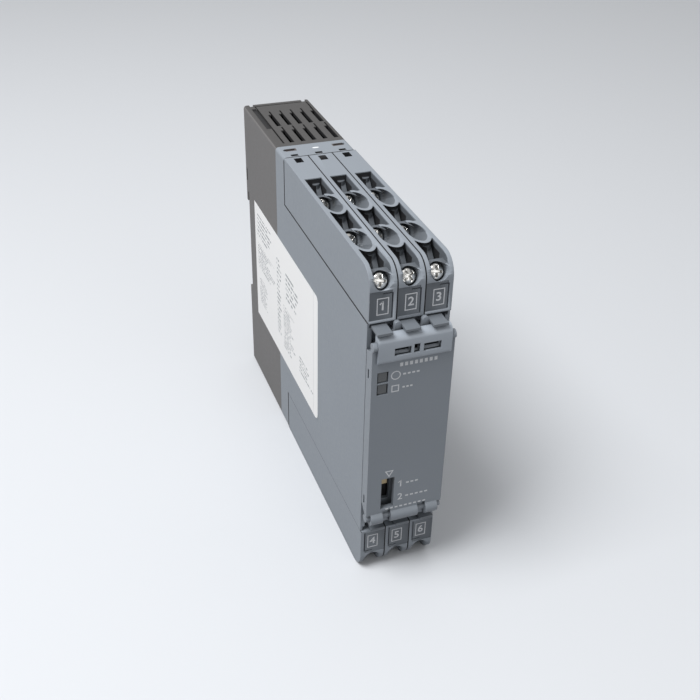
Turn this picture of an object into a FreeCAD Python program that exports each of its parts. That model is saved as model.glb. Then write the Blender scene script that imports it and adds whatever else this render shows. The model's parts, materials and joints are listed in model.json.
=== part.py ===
import FreeCAD, Part
import os
import re
import Sketcher

# A safety relay, 22.5 mm wide, for a 35 mm rail.
# A dark rear housing with air slots hooks on the rail. A light front housing carries six removable
# terminal blocks, three above and three below, and a hinged front cover between them.
# Frame: X across the rail, Y to the rear, Z up, origin at the middle of the base.
# Depths are counted forward from the rear face, because that is how the device is drawn.

SIZES = (
    # whole device
    ("case_width", 22.5),
    ("case_height", 100.0),
    ("case_depth", 121.6),
    ("rear_depth", 37.2),
    ("shoulder_depth", 45.8),
    ("face_depth", 116.5),
    ("wall", 1.3),
    ("edge_round", 1.0),
    # rail seat in the rear face
    ("rail_height", 35.0),
    ("rail_play", 0.2),
    ("rail_top", 70.2),
    ("rail_floor", 2.6),
    ("hook_depth", 1.4),
    ("hook_reach", 3.5),
    ("rear_wall", 6.0),
    # air slots
    ("slot_width", 1.5),
    ("slot_pitch", 3.55),
    ("slot_length", 10.2),
    ("slot_first_row", 10.4),
    ("slot_second_row", 24.5),
    ("slot_offset", 2.0),
    ("slot_tail_width", 0.55),
    ("slot_tail_length", 3.0),
    ("grille_left", 8.1),
    ("grille_gap", 0.55),
    # rail latch
    ("latch_width", 10.0),
    ("latch_thickness", 3.0),
    ("latch_overlap", 2.0),
    ("latch_nose_depth", 1.3),
    ("latch_land", 1.0),
    ("latch_foot", 5.0),
    ("latch_travel", 4.5),
    ("latch_play", 0.15),
    ("spring_wire", 0.35),
    ("spring_radius", 1.5),
    ("spring_turns", 5.0),
    ("spring_length", 10.0),
    # terminal blocks
    ("block_reach", 117.1),
    ("block_height", 15.0),
    ("block_gap", 0.2),
    ("block_round", 5.5),
    ("entry_start", 16.15),
    ("entry_pitch", 21.9),
    ("entry_width", 5.0),
    ("entry_length", 11.5),
    ("entry_tray", 2.4),
    ("chamber_length", 6.3),
    ("chamber_floor", 3.2),
    ("guide_radius", 1.1),
    ("tag_height", 8.1),
    ("tag_bottom", 0.8),
    ("tag_depth", 0.15),
    ("tag_groove", 0.35),
    ("tag_side", 2.35),
    ("probe_width", 2.3),
    ("probe_length", 3.3),
    ("tab_width", 4.0),
    ("tab_thickness", 0.7),
    ("tab_offset", 0.85),
    ("tab_room", 1.5),
    ("tab_root_depth", 2.6),
    ("tab_recess_height", 6.5),
    ("post_width", 1.8),
    ("upper_tab_reach", 121.5),
    ("lower_tab_reach", 118.2),
    # clamping screws and cages
    ("screw_tilt", 28.0),
    ("head_setback", 9.05),
    ("head_drop", 4.4),
    ("head_radius", 2.3),
    ("head_thickness", 1.8),
    ("head_play", 0.2),
    ("funnel_rim", 0.6),
    ("funnel_length", 15.5),
    ("seat_wall", 0.75),
    ("shank_radius", 1.5),
    ("shank_length", 4.6),
    ("thread_play", 0.06),
    ("recess_width", 0.55),
    ("recess_length", 2.8),
    ("recess_depth", 0.9),
    ("cage_start", 5.3),
    ("cage_width", 4.6),
    ("cage_height", 3.8),
    ("cage_length", 5.5),
    ("cage_nut_wall", 1.0),
    ("cage_wall", 0.5),
    ("cage_travel", 2.4),
    ("cage_play", 0.2),
    ("contact_width", 3.2),
    ("contact_thickness", 0.8),
    ("contact_gap", 0.1),
    ("contact_drop", 5.2),
    # front cover and its hinge
    ("cover_front", 120.6),
    ("cover_thickness", 1.5),
    ("cover_bottom", 24.0),
    ("cover_top", 79.0),
    ("cover_side_wall", 1.2),
    ("cover_play", 0.15),
    ("hinge_height", 22.3),
    ("hinge_bar_radius", 2.4),
    ("axle_radius", 1.1),
    ("axle_play", 0.08),
    ("hook_wall", 1.0),
    ("hook_width", 2.0),
    ("hook_play", 0.2),
    ("hook_spacing", 10.5),
    ("pin_radius", 1.2),
    ("bar_half_length", 10.0),
    ("top_bar_bottom", 77.4),
    ("top_bar_top", 83.3),
    ("top_bar_window", 3.6),
    # windows in the cover
    ("lamp_window_width", 3.0),
    ("lamp_window_height", 3.3),
    ("lamp_pitch", 3.7),
    ("lamp_side", 8.15),
    ("lamp_top", 72.3),
    ("lens_play", 0.3),
    ("lens_flange", 0.6),
    ("selector_side", 5.2),
    ("selector_width", 3.8),
    ("selector_bottom", 25.7),
    ("selector_top", 36.5),
    # start selector
    ("knob_width", 1.6),
    ("knob_height", 2.6),
    ("knob_travel", 2.5),
    ("knob_play", 0.15),
    ("switch_depth", 8.0),
    # side label
    ("label_rear", 9.3),
    ("label_front", 77.8),
    ("label_bottom", 25.9),
    ("label_top", 70.4),
    ("label_thickness", 0.12),
    ("label_corner", 1.2),
    # board and what it carries
    ("board_thickness", 1.6),
    ("board_side", 7.6),
    ("board_rear", 8.0),
    ("board_front", 110.5),
    ("board_edge", 2.0),
    ("groove_play", 0.1),
    ("rib_width", 0.8),
    ("rib_reach", 2.4),
    ("relay_width", 12.6),
    ("relay_length", 28.0),
    ("relay_height", 24.0),
    ("relay_start", 50.0),
    ("relay_gap", 4.0),
    ("core_length", 20.0),
    ("core_height", 18.0),
    ("core_width", 13.0),
    ("core_start", 12.0),
    ("can_radius", 4.0),
    ("can_length", 14.0),
    ("seat_gap", 0.05),
    ("header_height", 3.0),
    ("header_width", 2.0),
    ("header_side", 9.3),
    ("header_groove", 1.5),
    ("pin_width", 0.6),
    ("pin_play", 0.2),
    ("pin_reach", 2.2),
)
ALIASES = {alias for alias, value in SIZES}

TERMINALS = (0, 1, 2)
UPPER_BLOCKS = {1: -1, 2: 0, 3: 1}
LOWER_BLOCKS = {4: -1, 5: 0, 6: 1}

doc = FreeCAD.newDocument("SafetyRelay")
sheet = doc.addObject("Spreadsheet::Sheet", "Sizes")
for row, (alias, value) in enumerate(SIZES, start=1):
    sheet.set(f"A{row}", alias.replace("_", " "))
    sheet.set(f"B{row}", str(value))
    sheet.setAlias(f"B{row}", alias)
doc.recompute()

nodes = []


# Helpers that bind geometry to the sheet

def bound(formula):
    """Point every size name in a formula at its cell."""
    def cell(word):
        name = word.group()
        return f"Sizes.{name}" if name in ALIASES else name
    return re.sub(r"[a-z][a-z_]*", cell, str(formula))


def bind(thing, **formulas):
    """Bind properties, written with _ for a dot in Placement paths."""
    for name, formula in formulas.items():
        thing.setExpression(name, bound(formula))


def place(thing, x="0", y="0", z="0"):
    """Put a thing's origin at x, y, z."""
    thing.setExpression("Placement.Base.x", bound(x))
    thing.setExpression("Placement.Base.y", bound(y))
    thing.setExpression("Placement.Base.z", bound(z))
    return thing


def turn(thing, axis, angle):
    """Turn a thing about its own origin."""
    for name, part in zip("xyz", axis):
        thing.setExpression(f"Placement.Rotation.Axis.{name}", bound(part))
    thing.setExpression("Placement.Rotation.Angle", bound(angle))
    return thing


def box(name, x, y, z):
    """A box between two formulas along each axis, the lower one first."""
    thing = doc.addObject("Part::Box", name)
    bind(thing, Length=f"({x[1]}) - ({x[0]})", Width=f"({y[1]}) - ({y[0]})", Height=f"({z[1]}) - ({z[0]})")
    return place(thing, x[0], y[0], z[0])


def rod(name, radius, length, x="0", y="0", z="0", along="Z"):
    """A round bar that starts at x, y, z and runs along an axis."""
    thing = doc.addObject("Part::Cylinder", name)
    bind(thing, Radius=radius, Height=length)
    if along == "X":
        turn(thing, ("0", "1", "0"), "90")
    if along == "Y":
        turn(thing, ("1", "0", "0"), "90")
    return place(thing, x, y, z)


def fuse(name, *things):
    """One solid made of several."""
    thing = doc.addObject("Part::MultiFuse", name)
    thing.Shapes = list(things)
    thing.Refine = True
    return thing


def cut(name, base, *tools):
    """The base less every tool."""
    tool = tools[0] if len(tools) == 1 else fuse(f"{name}_tools", *tools)
    thing = doc.addObject("Part::Cut", name)
    thing.Base = base
    thing.Tool = tool
    thing.Refine = True
    return thing


def keep(name, base, envelope):
    """What of the base lies inside the envelope."""
    thing = doc.addObject("Part::Common", name)
    thing.Base = base
    thing.Tool = envelope
    return thing


def profile(name, plane, points, start, length, round_at=None, radius=None):
    """A body padded from a closed outline of straight sides, with edges rounded where asked.

    The outline lies on an origin plane, moved along its normal by start.
    round_at picks the edges to round, from the middle of each edge.
    """
    body = doc.addObject("PartDesign::Body", name)
    sketch = body.newObject("Sketcher::SketchObject", f"{name}_outline")
    origin_plane = [item for item in body.Origin.OriginFeatures if item.Role == plane][0]
    sketch.AttachmentSupport = [(origin_plane, "")]
    sketch.MapMode = "FlatFace"
    sketch.setExpression("AttachmentOffset.Base.z", bound(start))
    count = len(points)
    for index in range(count):
        here = FreeCAD.Vector(index, index * index, 0)
        after = (index + 1) % count
        there = FreeCAD.Vector(after, after * after, 0)
        sketch.addGeometry(Part.LineSegment(here, there), False)
    for index in range(count):
        sketch.addConstraint(Sketcher.Constraint("Coincident", index, 2, (index + 1) % count, 1))
    for index, (across, up) in enumerate(points):
        spot = sketch.addConstraint(Sketcher.Constraint("DistanceX", -1, 1, index, 1, float(index)))
        sketch.renameConstraint(spot, f"across_{index}")
        spot = sketch.addConstraint(Sketcher.Constraint("DistanceY", -1, 1, index, 1, float(index * index)))
        sketch.renameConstraint(spot, f"up_{index}")
    for index, (across, up) in enumerate(points):
        sketch.setExpression(f"Constraints.across_{index}", bound(across))
        sketch.setExpression(f"Constraints.up_{index}", bound(up))
    pad = body.newObject("PartDesign::Pad", f"{name}_pad")
    pad.Profile = sketch
    bind(pad, Length=length)
    if round_at:
        doc.recompute()
        edges = [
            f"Edge{number}"
            for number, edge in enumerate(pad.Shape.Edges, start=1)
            if round_at(edge)
        ]
        fillet = body.newObject("PartDesign::Fillet", f"{name}_round")
        fillet.Base = (pad, edges)
        bind(fillet, Radius=radius)
        body.Tip = fillet
    return body


def part(label, thing):
    """Keep a finished sub-part, which is written to its own file."""
    thing.Label = label
    nodes.append(thing)
    return thing


def depth(forward):
    """The Y of a plane that lies forward of the rear face."""
    return f"case_depth / 2 - ({forward})"


def along_y(edge):
    """Whether an edge runs from front to rear."""
    return abs(edge.tangentAt(edge.FirstParameter).y) > 0.99


def along_x(edge):
    """Whether an edge runs across."""
    return abs(edge.tangentAt(edge.FirstParameter).x) > 0.99


half_width = "case_width / 2"
block_pitch = "case_width / 3"
block_bottom = "case_height - block_height"
inner_half = "case_width / 2 - wall"
cover_rear = "cover_front - cover_thickness"
hinge_depth = "case_depth - hinge_bar_radius"
notch_half = "hook_width / 2 + hook_play"
pin_room = "(pin_width / 2 + pin_play)"


# Rear housing: a tub that is open to the front, with the rail seat behind and air slots above and below

def mirrored(side, low, high):
    """A range of heights on the upper half, or its mirror image on the lower half."""
    if side == "upper":
        return (low, high)
    return (f"case_height - ({high})", f"case_height - ({low})")


def board_ribs():
    """Pairs of ribs above and below that hold the rear edges of the board."""
    ribs = []
    inner = "board_side - board_thickness / 2 - groove_play"
    outer = "board_side + board_thickness / 2 + groove_play"
    for side in ("upper", "lower"):
        for name, low, high in (
            ("inner", f"-({inner})", f"-({inner}) + rib_width"),
            ("outer", f"-({outer}) - rib_width", f"-({outer})"),
        ):
            ribs.append(box(
                f"{side}_{name}_rib",
                (low, high),
                (depth("rear_depth - wall"), depth("rear_wall")),
                mirrored(side, "case_height - wall - rib_reach", "case_height - wall"),
            ))
    return ribs


def slot_row(name, start, low, high):
    """Five air slots side by side, each with a narrow tail at its rear end."""
    slots = []
    for index in range(5):
        middle = f"slot_offset + {index - 2} * slot_pitch"
        wide = box(
            f"{name}_slot_{index}",
            (f"{middle} - slot_width / 2", f"{middle} + slot_width / 2"),
            (depth(f"{start} + slot_length"), depth(start)),
            (low, high),
        )
        tail = box(
            f"{name}_tail_{index}",
            (f"{middle} + slot_width / 2 - slot_tail_width", f"{middle} + slot_width / 2"),
            (depth(f"{start} + slot_tail_width"), depth(f"{start} - slot_tail_length")),
            (low, high),
        )
        slots.append(wide)
        slots.append(tail)
    return slots


def grille_frame():
    """The narrow gaps and the low ledge that set the air grille apart from the side walls."""
    top = "case_height"
    gap_floor = "case_height - wall * 0.6"
    left_gap = box(
        "grille_left_gap",
        ("-grille_left", "-grille_left + grille_gap"),
        (depth("rear_depth - wall * 1.8"), depth("wall * 1.6")),
        (gap_floor, top),
    )
    ledge = box(
        "grille_ledge",
        ("-case_width / 2 + wall * 1.3", "-grille_left"),
        (depth("slot_second_row - wall * 1.8"), depth("wall * 3")),
        ("case_height - wall * 0.35", top),
    )
    rear_gap = box(
        "grille_rear_gap",
        ("-grille_left", "grille_left"),
        (depth("wall * 1.6"), depth("wall * 1.6 - grille_gap")),
        (gap_floor, top),
    )
    right_gap = box(
        "grille_right_gap",
        ("case_width / 2 - wall - grille_gap", "case_width / 2 - wall"),
        (depth("slot_first_row - wall"), depth("wall * 1.6")),
        (gap_floor, top),
    )
    return [left_gap, ledge, rear_gap, right_gap]


def horn_notches():
    """Two notches in the top rear edge, which leave a small horn at each corner."""
    notches = []
    for side, low, high in (
        ("left", "-case_width / 2 + wall * 1.4", "-grille_left - 0.05"),
        ("right", "grille_left + grille_gap / 2", "case_width / 2 - wall * 1.1"),
    ):
        notches.append(box(
            f"horn_notch_{side}",
            (low, high),
            (depth("wall * 1.2"), depth("0")),
            ("case_height - wall * 0.85", "case_height"),
        ))
    return notches


rail_bottom = "rail_top - rail_height - rail_play"
rail_mouth_top = "rail_top - hook_reach"
latch_channel_top = "rail_top - rail_height - rail_play - rail_floor"
latch_half = "latch_width / 2 + latch_play"
latch_low = "latch_foot"
latch_floor_depth = "latch_thickness + latch_play"
post_top = "latch_foot + latch_travel + wall * 2"


def rear_housing():
    shell = profile(
        "rear_shell", "YZ_Plane",
        (
            (depth("rear_depth"), "0"),
            (depth("0"), "0"),
            (depth("0"), latch_channel_top),
            (depth("rail_floor"), latch_channel_top),
            (depth("rail_floor"), "rail_top"),
            (depth("hook_depth"), "rail_top"),
            (depth("hook_depth"), rail_mouth_top),
            (depth("0"), rail_mouth_top),
            (depth("0"), "case_height"),
            (depth("rear_depth"), "case_height"),
        ),
        "-case_width / 2", "case_width",
        lambda edge: along_y(edge) and edge.Length > 30, "edge_round",
    )
    hollow = box(
        "rear_hollow",
        (f"-({inner_half})", inner_half),
        (depth("rear_depth"), depth("rear_wall")),
        ("wall", "case_height - wall"),
    )
    latch_channel = box(
        "latch_channel",
        (f"-({latch_half})", latch_half),
        (depth(latch_floor_depth), depth("0")),
        ("0", latch_channel_top),
    )
    side_slot = box(
        "side_slot",
        ("-case_width / 2", "-case_width / 2 + wall"),
        (depth("1.8"), depth("0.6")),
        ("rail_top + hook_reach + 0.3", "rail_top + hook_reach + 5"),
    )
    recess = box(
        "rear_label_recess",
        ("-case_width / 2", "-case_width / 2 + label_thickness"),
        (depth("rear_depth"), depth("label_rear")),
        ("label_bottom", "label_top"),
    )
    top_low = "case_height - wall"
    bottom_high = "wall"
    slots = (
        slot_row("top_rear", "slot_first_row", top_low, "case_height")
        + slot_row("top_front", "slot_second_row", top_low, "case_height")
        + slot_row("base_rear", "slot_first_row", "0", bottom_high)
        + slot_row("base_front", "slot_second_row", "0", bottom_high)
    )
    open_shell = cut(
        "open_rear_shell", shell, hollow, latch_channel, side_slot, recess,
        *slots, *grille_frame(), *horn_notches(),
    )
    post = box(
        "spring_post",
        ("-spring_radius", "spring_radius"),
        (depth(latch_floor_depth), depth("latch_play")),
        ("latch_foot + latch_travel + wall", post_top),
    )
    part("rear_housing", fuse("rear_housing", open_shell, post, *board_ribs()))


# Rail latch: a plate that slides in the rear channel, with a nose under the rail and a coil spring

def rail_latch():
    nose_top = "rail_top - rail_height - rail_play + latch_overlap"
    plate = profile(
        "latch_plate", "YZ_Plane",
        (
            (depth("latch_thickness"), latch_low),
            (depth("0"), latch_low),
            (depth("0"), f"{nose_top} - latch_nose_depth / 2"),
            (depth("latch_nose_depth"), nose_top),
            (depth("latch_nose_depth"), f"{rail_bottom} - latch_land"),
            (depth("rail_floor - latch_play * 2"), f"{rail_bottom} - latch_land * 2"),
            (depth("rail_floor - latch_play * 2"), f"{latch_channel_top} - latch_play"),
            (depth("latch_thickness"), f"{latch_channel_top} - latch_play"),
        ),
        "-latch_width / 2", "latch_width",
    )
    window = box(
        "latch_window",
        ("-spring_radius - latch_play * 3", "spring_radius + latch_play * 3"),
        (depth("latch_thickness"), depth("0")),
        ("latch_foot + wall", f"{post_top} + spring_length"),
    )
    pull_slot = box(
        "latch_pull_slot",
        ("-latch_width / 3", "latch_width / 3"),
        (depth("latch_thickness * 0.6"), depth("0")),
        ("latch_foot", "latch_foot + wall * 0.6"),
    )
    part("rail_latch", cut("rail_latch", plate, window, pull_slot))


def latch_spring():
    coil = doc.addObject("Part::Helix", "spring_line")
    bind(
        coil,
        Radius="spring_radius - spring_wire",
        Height="spring_length - spring_wire * 2.4",
        Pitch="(spring_length - spring_wire * 2.4) / spring_turns",
    )
    ring = doc.addObject("Part::RegularPolygon", "spring_section")
    ring.Polygon = 6
    bind(ring, Circumradius="spring_wire")
    turn(ring, ("1", "0", "0"), "90")
    place(ring, x="spring_radius - spring_wire")
    wire = doc.addObject("Part::Sweep", "spring_coil")
    wire.Sections = [ring]
    wire.Spine = (coil, ["Edge1"])
    wire.Solid = True
    wire.Frenet = True
    place(wire, "0", depth("latch_thickness / 2"), f"{post_top} + spring_wire * 1.2")
    part("latch_spring", wire)


# Front housing: a tub that is open to the rear, stepped in above and below for the terminal blocks

def front_housing():
    shell = profile(
        "front_shell", "YZ_Plane",
        (
            (depth("face_depth"), "block_height"),
            (depth("shoulder_depth"), "block_height"),
            (depth("shoulder_depth"), "0"),
            (depth("rear_depth"), "0"),
            (depth("rear_depth"), "case_height"),
            (depth("shoulder_depth"), "case_height"),
            (depth("shoulder_depth"), block_bottom),
            (depth("face_depth"), block_bottom),
        ),
        "-case_width / 2", "case_width",
        lambda edge: along_y(edge) and edge.Length < 10, "edge_round",
    )
    belly = box(
        "front_hollow",
        (f"-({inner_half})", inner_half),
        (depth("face_depth - wall"), depth("rear_depth")),
        ("block_height + wall", f"{block_bottom} - wall"),
    )
    shoulder = box(
        "shoulder_hollow",
        (f"-({inner_half})", inner_half),
        (depth("shoulder_depth - wall"), depth("rear_depth")),
        ("wall", "case_height - wall"),
    )
    recess = box(
        "front_label_recess",
        ("-case_width / 2", "-case_width / 2 + label_thickness"),
        (depth("label_front"), depth("rear_depth")),
        ("label_bottom", "label_top"),
    )
    lamp_hole = box(
        "lamp_hole",
        (f"-lamp_side - lamp_window_width / 2 - lens_play", "-lamp_side + lamp_window_width / 2 + lens_play"),
        (depth("face_depth"), depth("face_depth - wall")),
        ("lamp_top - lamp_pitch - lamp_window_height - lens_play", "lamp_top + lens_play"),
    )
    selector_hole = box(
        "selector_hole",
        ("-selector_side - selector_width / 2 - knob_play", "-selector_side + selector_width / 2 + knob_play"),
        (depth("face_depth"), depth("face_depth - wall")),
        ("selector_bottom - knob_play", "selector_top + knob_play"),
    )
    hollows = [belly, shoulder, recess, lamp_hole, selector_hole]
    backings = [tab_backing(side) for side in ("upper", "lower")]
    thick_shell = fuse("thick_front_shell", cut("hollow_front_shell", shell, *hollows), *backings)
    tools = shoulder_slots()
    for side in ("upper", "lower"):
        tools.extend(tab_recess(side))
        tools.extend(header_openings(side))
    open_shell = cut("open_front_shell", thick_shell, *tools)
    part("front_housing", fuse("front_housing", open_shell, *latch_posts(), *hinge_hooks()))


recess_floor = "face_depth - wall * 1.5"


def tab_backing(side):
    """Thicker walls inside the shell, behind and below the room for the release tabs."""
    inner_top = f"{block_bottom} - wall"
    outline = [
        (depth("face_depth - wall / 2"), f"{inner_top} - tab_recess_height"),
        (depth(f"{recess_floor} - wall"), f"{inner_top} - tab_recess_height"),
        (depth(f"{recess_floor} - wall"), f"{inner_top} - wall"),
        (depth("face_depth - 4.1"), f"{inner_top} - wall"),
        (depth("face_depth - 4.1"), f"{inner_top} + wall / 2"),
        (depth("face_depth - wall / 2"), f"{inner_top} + wall / 2"),
    ]
    if side == "lower":
        outline = [(y, f"case_height - ({z})") for y, z in outline]
    return profile(f"{side}_tab_backing", "YZ_Plane", outline, f"-({inner_half}) - wall / 2", f"2 * ({inner_half}) + wall")


def tab_recess(side):
    """The pocket in front and the room above it, where the release tabs flex."""
    return [box(
        f"{side}_tab_recess",
        (f"-({inner_half})", inner_half),
        (depth("face_depth"), depth(recess_floor)),
        mirrored(side, f"{block_bottom} - tab_recess_height", f"{block_bottom} - tab_room"),
    ), box(
        f"{side}_tab_room",
        ("-case_width / 2 + wall / 2", "case_width / 2 - wall / 2"),
        (depth("face_depth"), depth("face_depth - tab_root_depth - cover_play * 2")),
        mirrored(side, f"{block_bottom} - tab_room", block_bottom),
    )]


def header_openings(side):
    """Slots through the shell where the header pins enter the blocks."""
    slots = []
    for index in (-1, 0, 1):
        for terminal in TERMINALS:
            spot = contact_foot(terminal)
            slots.append(box(
                f"{side}_pin_slot_{index + 1}_{terminal}",
                (f"{index} * {block_pitch} - {pin_room}", f"{index} * {block_pitch} + {pin_room}"),
                (depth(f"{spot} + {pin_room}"), depth(f"{spot} - {pin_room}")),
                mirrored(side, f"{block_bottom} - wall", block_bottom),
            ))
    return slots


def shoulder_slots():
    """Moulding slots in the strip behind the upper blocks."""
    slots = []
    for side, sign in (("left", -1), ("right", 1)):
        slots.append(box(
            f"shoulder_slot_{side}",
            (f"{sign} * 7.9 - 1.75", f"{sign} * 7.9 + 1.75"),
            (depth("rear_depth + 3.6"), depth("rear_depth + 2.4")),
            ("case_height - wall * 0.6", "case_height"),
        ))
    for index in (-1, 0, 1):
        slots.append(box(
            f"coding_slot_{index + 1}",
            (f"{index} * {block_pitch} - 1", f"{index} * {block_pitch} + 1.2"),
            (depth("shoulder_depth - 0.9"), depth("shoulder_depth - 1.9")),
            ("case_height - wall * 0.8", "case_height"),
        ))
    return slots


def latch_posts():
    """Round-topped posts between the upper release tabs."""
    posts = []
    post_foot = f"{block_bottom} - tab_recess_height"
    stem_top = f"{block_bottom} - post_width * 0.4"
    front = "block_reach + 1.3"
    for index in (-1, 1):
        middle = f"{index} * {block_pitch} / 2"
        sides = (f"{middle} - post_width / 2", f"{middle} + post_width / 2")
        root = box(
            f"post_root_{index + 1}", sides,
            (depth(front), depth(f"{recess_floor} - wall / 2")),
            (post_foot, f"{post_foot} + post_width * 2"),
        )
        stem = box(
            f"post_stem_{index + 1}", sides,
            (depth(front), depth("block_reach + 0.1")),
            (post_foot, stem_top),
        )
        cap = rod(
            f"post_cap_{index + 1}", "post_width / 2", "1.2",
            middle, depth("block_reach + 0.1"), stem_top, "Y",
        )
        posts.extend((root, stem, cap))
    return posts


def hinge_hooks():
    """Two open hooks on the housing that grip the axle of the cover."""
    hooks = []
    for index in (-1, 1):
        middle = f"{index} * hook_spacing / 2"
        start = f"{middle} - hook_width / 2"
        outside = rod(
            f"hook_ring_{index + 1}", "axle_radius + axle_play + hook_wall", "hook_width",
            start, depth(hinge_depth), "hinge_height", "X",
        )
        arm = box(
            f"hook_arm_{index + 1}",
            (start, f"{middle} + hook_width / 2"),
            (depth(hinge_depth), depth("face_depth")),
            ("hinge_height - hook_wall", "hinge_height + hook_wall"),
        )
        eye = rod(
            f"hook_eye_{index + 1}", "axle_radius + axle_play", "hook_width",
            start, depth(hinge_depth), "hinge_height", "X",
        )
        mouth = box(
            f"hook_mouth_{index + 1}",
            (start, f"{middle} + hook_width / 2"),
            (depth("case_depth"), depth(f"{hinge_depth} + axle_radius * 0.45")),
            ("hinge_height - hook_wall * 3", "hinge_height + hook_wall * 3"),
        )
        hooks.append(cut(f"hook_{index + 1}", fuse(f"hook_body_{index + 1}", outside, arm), eye, mouth))
    return hooks


# Terminal blocks: each has three tilted clamping screws, three wire entries and a marking tag

head_height = "block_height - head_drop"


def head_forward(terminal):
    """Depth of a screw head's face, from the rear of its block."""
    return f"entry_start + {terminal} * entry_pitch + head_setback"


def contact_foot(terminal):
    """Depth of a contact's foot, from the rear of the device."""
    return (
        f"shoulder_depth + {head_forward(terminal)}"
        f" - (cage_start + cage_nut_wall + contact_gap * 2 + contact_thickness / 2) * cos(screw_tilt)"
        f" + contact_drop * sin(screw_tilt)"
    )


def in_screw_frame(thing, terminal, forward="0", up="0"):
    """Seat a thing on the screw axis of a terminal, in the frame of the block.

    The thing's own Z then points out of the screw head.
    """
    turn(thing, ("1", "0", "0"), "90 - screw_tilt")
    return place(thing, "0", f"-({head_forward(terminal)})", head_height)


def tilted_box(name, terminal, x, up, out):
    """A box along the screw axis: up is square to the axis and out runs towards the head."""
    inner = box(f"{name}_box", x, up, out)
    return in_screw_frame(fuse_one(name, inner), terminal)


def fuse_one(name, thing):
    """A carrier for a thing, which takes a placement of its own."""
    carrier = doc.addObject("Part::Compound", name)
    carrier.Links = [thing]
    return carrier


def tilted_rod(name, terminal, radius, start, end):
    """A round bar on the screw axis, from start to end along it."""
    inner = rod(f"{name}_rod", radius, f"({end}) - ({start})", z=start)
    return in_screw_frame(fuse_one(name, inner), terminal)


def block_body(name, tab_reach):
    """One terminal block in its own frame: rear face at y = 0, underside at z = 0."""
    reach = "block_reach - shoulder_depth"
    half_block = f"{block_pitch} / 2 - block_gap / 2"
    solid = profile(
        f"{name}_solid", "YZ_Plane",
        (
            (f"-({reach})", "0"),
            ("-block_gap / 2", "0"),
            ("-block_gap / 2", "block_height"),
            (f"-({reach})", "block_height"),
        ),
        f"-({half_block})", f"{block_pitch} - block_gap",
        lambda edge: along_x(edge) and edge.CenterOfMass.y < -1 and edge.CenterOfMass.z > 1, "block_round",
    )
    envelope = profile(
        f"{name}_envelope", "YZ_Plane",
        (
            (f"-({reach})", "0"),
            ("-block_gap / 2", "0"),
            ("-block_gap / 2", "block_height"),
            (f"-({reach})", "block_height"),
        ),
        "-entry_width / 2 - funnel_rim / 4", "entry_width + funnel_rim / 2",
        lambda edge: along_x(edge) and edge.CenterOfMass.y < -1 and edge.CenterOfMass.z > 1, "block_round",
    )
    pockets = []
    rims = []
    bores = []
    guides = []
    for terminal in TERMINALS:
        tag = f"{name}_{terminal}"
        entry = f"entry_start + {terminal} * entry_pitch"
        pockets.append(box(
            f"{tag}_tray",
            ("-entry_width / 2", "entry_width / 2"),
            (f"-({entry} + entry_length)", f"-({entry})"),
            ("block_height - entry_tray", "block_height + 1"),
        ))
        pockets.append(box(
            f"{tag}_chamber",
            ("-entry_width / 2", "entry_width / 2"),
            (f"-({entry} + chamber_length)", f"-({entry})"),
            ("chamber_floor", "block_height + 1"),
        ))
        pockets.append(tilted_box(
            f"{tag}_cage_room", terminal,
            ("-cage_width / 2 - cage_play", "cage_width / 2 + cage_play"),
            ("-cage_height / 2 - cage_play", "cage_height / 2 + cage_play"),
            ("-cage_start - cage_length - cage_play", "-head_thickness - seat_wall"),
        ))
        pockets.append(tilted_box(
            f"{tag}_contact_slot", terminal,
            ("-contact_width / 2 - contact_gap", "contact_width / 2 + contact_gap"),
            ("-contact_drop - contact_gap", "0"),
            (
                "-cage_start - cage_nut_wall - contact_gap * 3 - contact_thickness",
                "-cage_start - cage_nut_wall - contact_gap",
            ),
        ))
        foot = f"{contact_foot(terminal)} - shoulder_depth"
        pockets.append(box(
            f"{tag}_socket",
            (f"-{pin_room}", pin_room),
            (f"-({foot}) - {pin_room}", f"-({foot}) + {pin_room}"),
            ("-1", "pin_reach + pin_play"),
        ))
        rims.append(tilted_rod(
            f"{tag}_rim", terminal, "head_radius + head_play + funnel_rim",
            "head_thickness * 1.2", "funnel_length",
        ))
        bores.append(tilted_rod(
            f"{tag}_funnel", terminal, "head_radius + head_play", "-head_thickness - 0.02", "funnel_length + 4",
        ))
        bores.append(tilted_rod(
            f"{tag}_neck", terminal, "shank_radius + thread_play", "-head_thickness - seat_wall - 1", "0",
        ))
        guides.append(rod(
            f"{tag}_guide", "guide_radius", "block_height - chamber_floor * 3.3",
            "guide_radius * 0.8", f"-({entry})", "chamber_floor * 2.8",
        ))
    pocketed = cut(f"{name}_pocketed", solid, *pockets)
    rim_walls = keep(f"{name}_rims", fuse(f"{name}_rim_rods", *rims), envelope)
    built = fuse(f"{name}_built", pocketed, rim_walls, *guides, *block_tab(name, tab_reach))
    return cut(f"{name}_bored", built, *bores, *tag_cuts(name, reach), probe_hole(name))


def block_tab(name, tab_reach):
    """The flexing tab under the front of a block, which releases it."""
    low = "-tab_thickness * 1.8"
    sides = ("-tab_offset - tab_width / 2", "-tab_offset + tab_width / 2")
    root_start = "-(face_depth - tab_root_depth - shoulder_depth)"
    root = box(f"{name}_tab_root", sides, (f"{root_start} - tab_thickness * 2", root_start), (low, "tab_thickness"))
    tongue = box(
        f"{name}_tab_tongue", sides,
        (f"-({tab_reach} - shoulder_depth)", root_start),
        (low, "-tab_thickness * 0.8"),
    )
    return [root, tongue]


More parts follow.
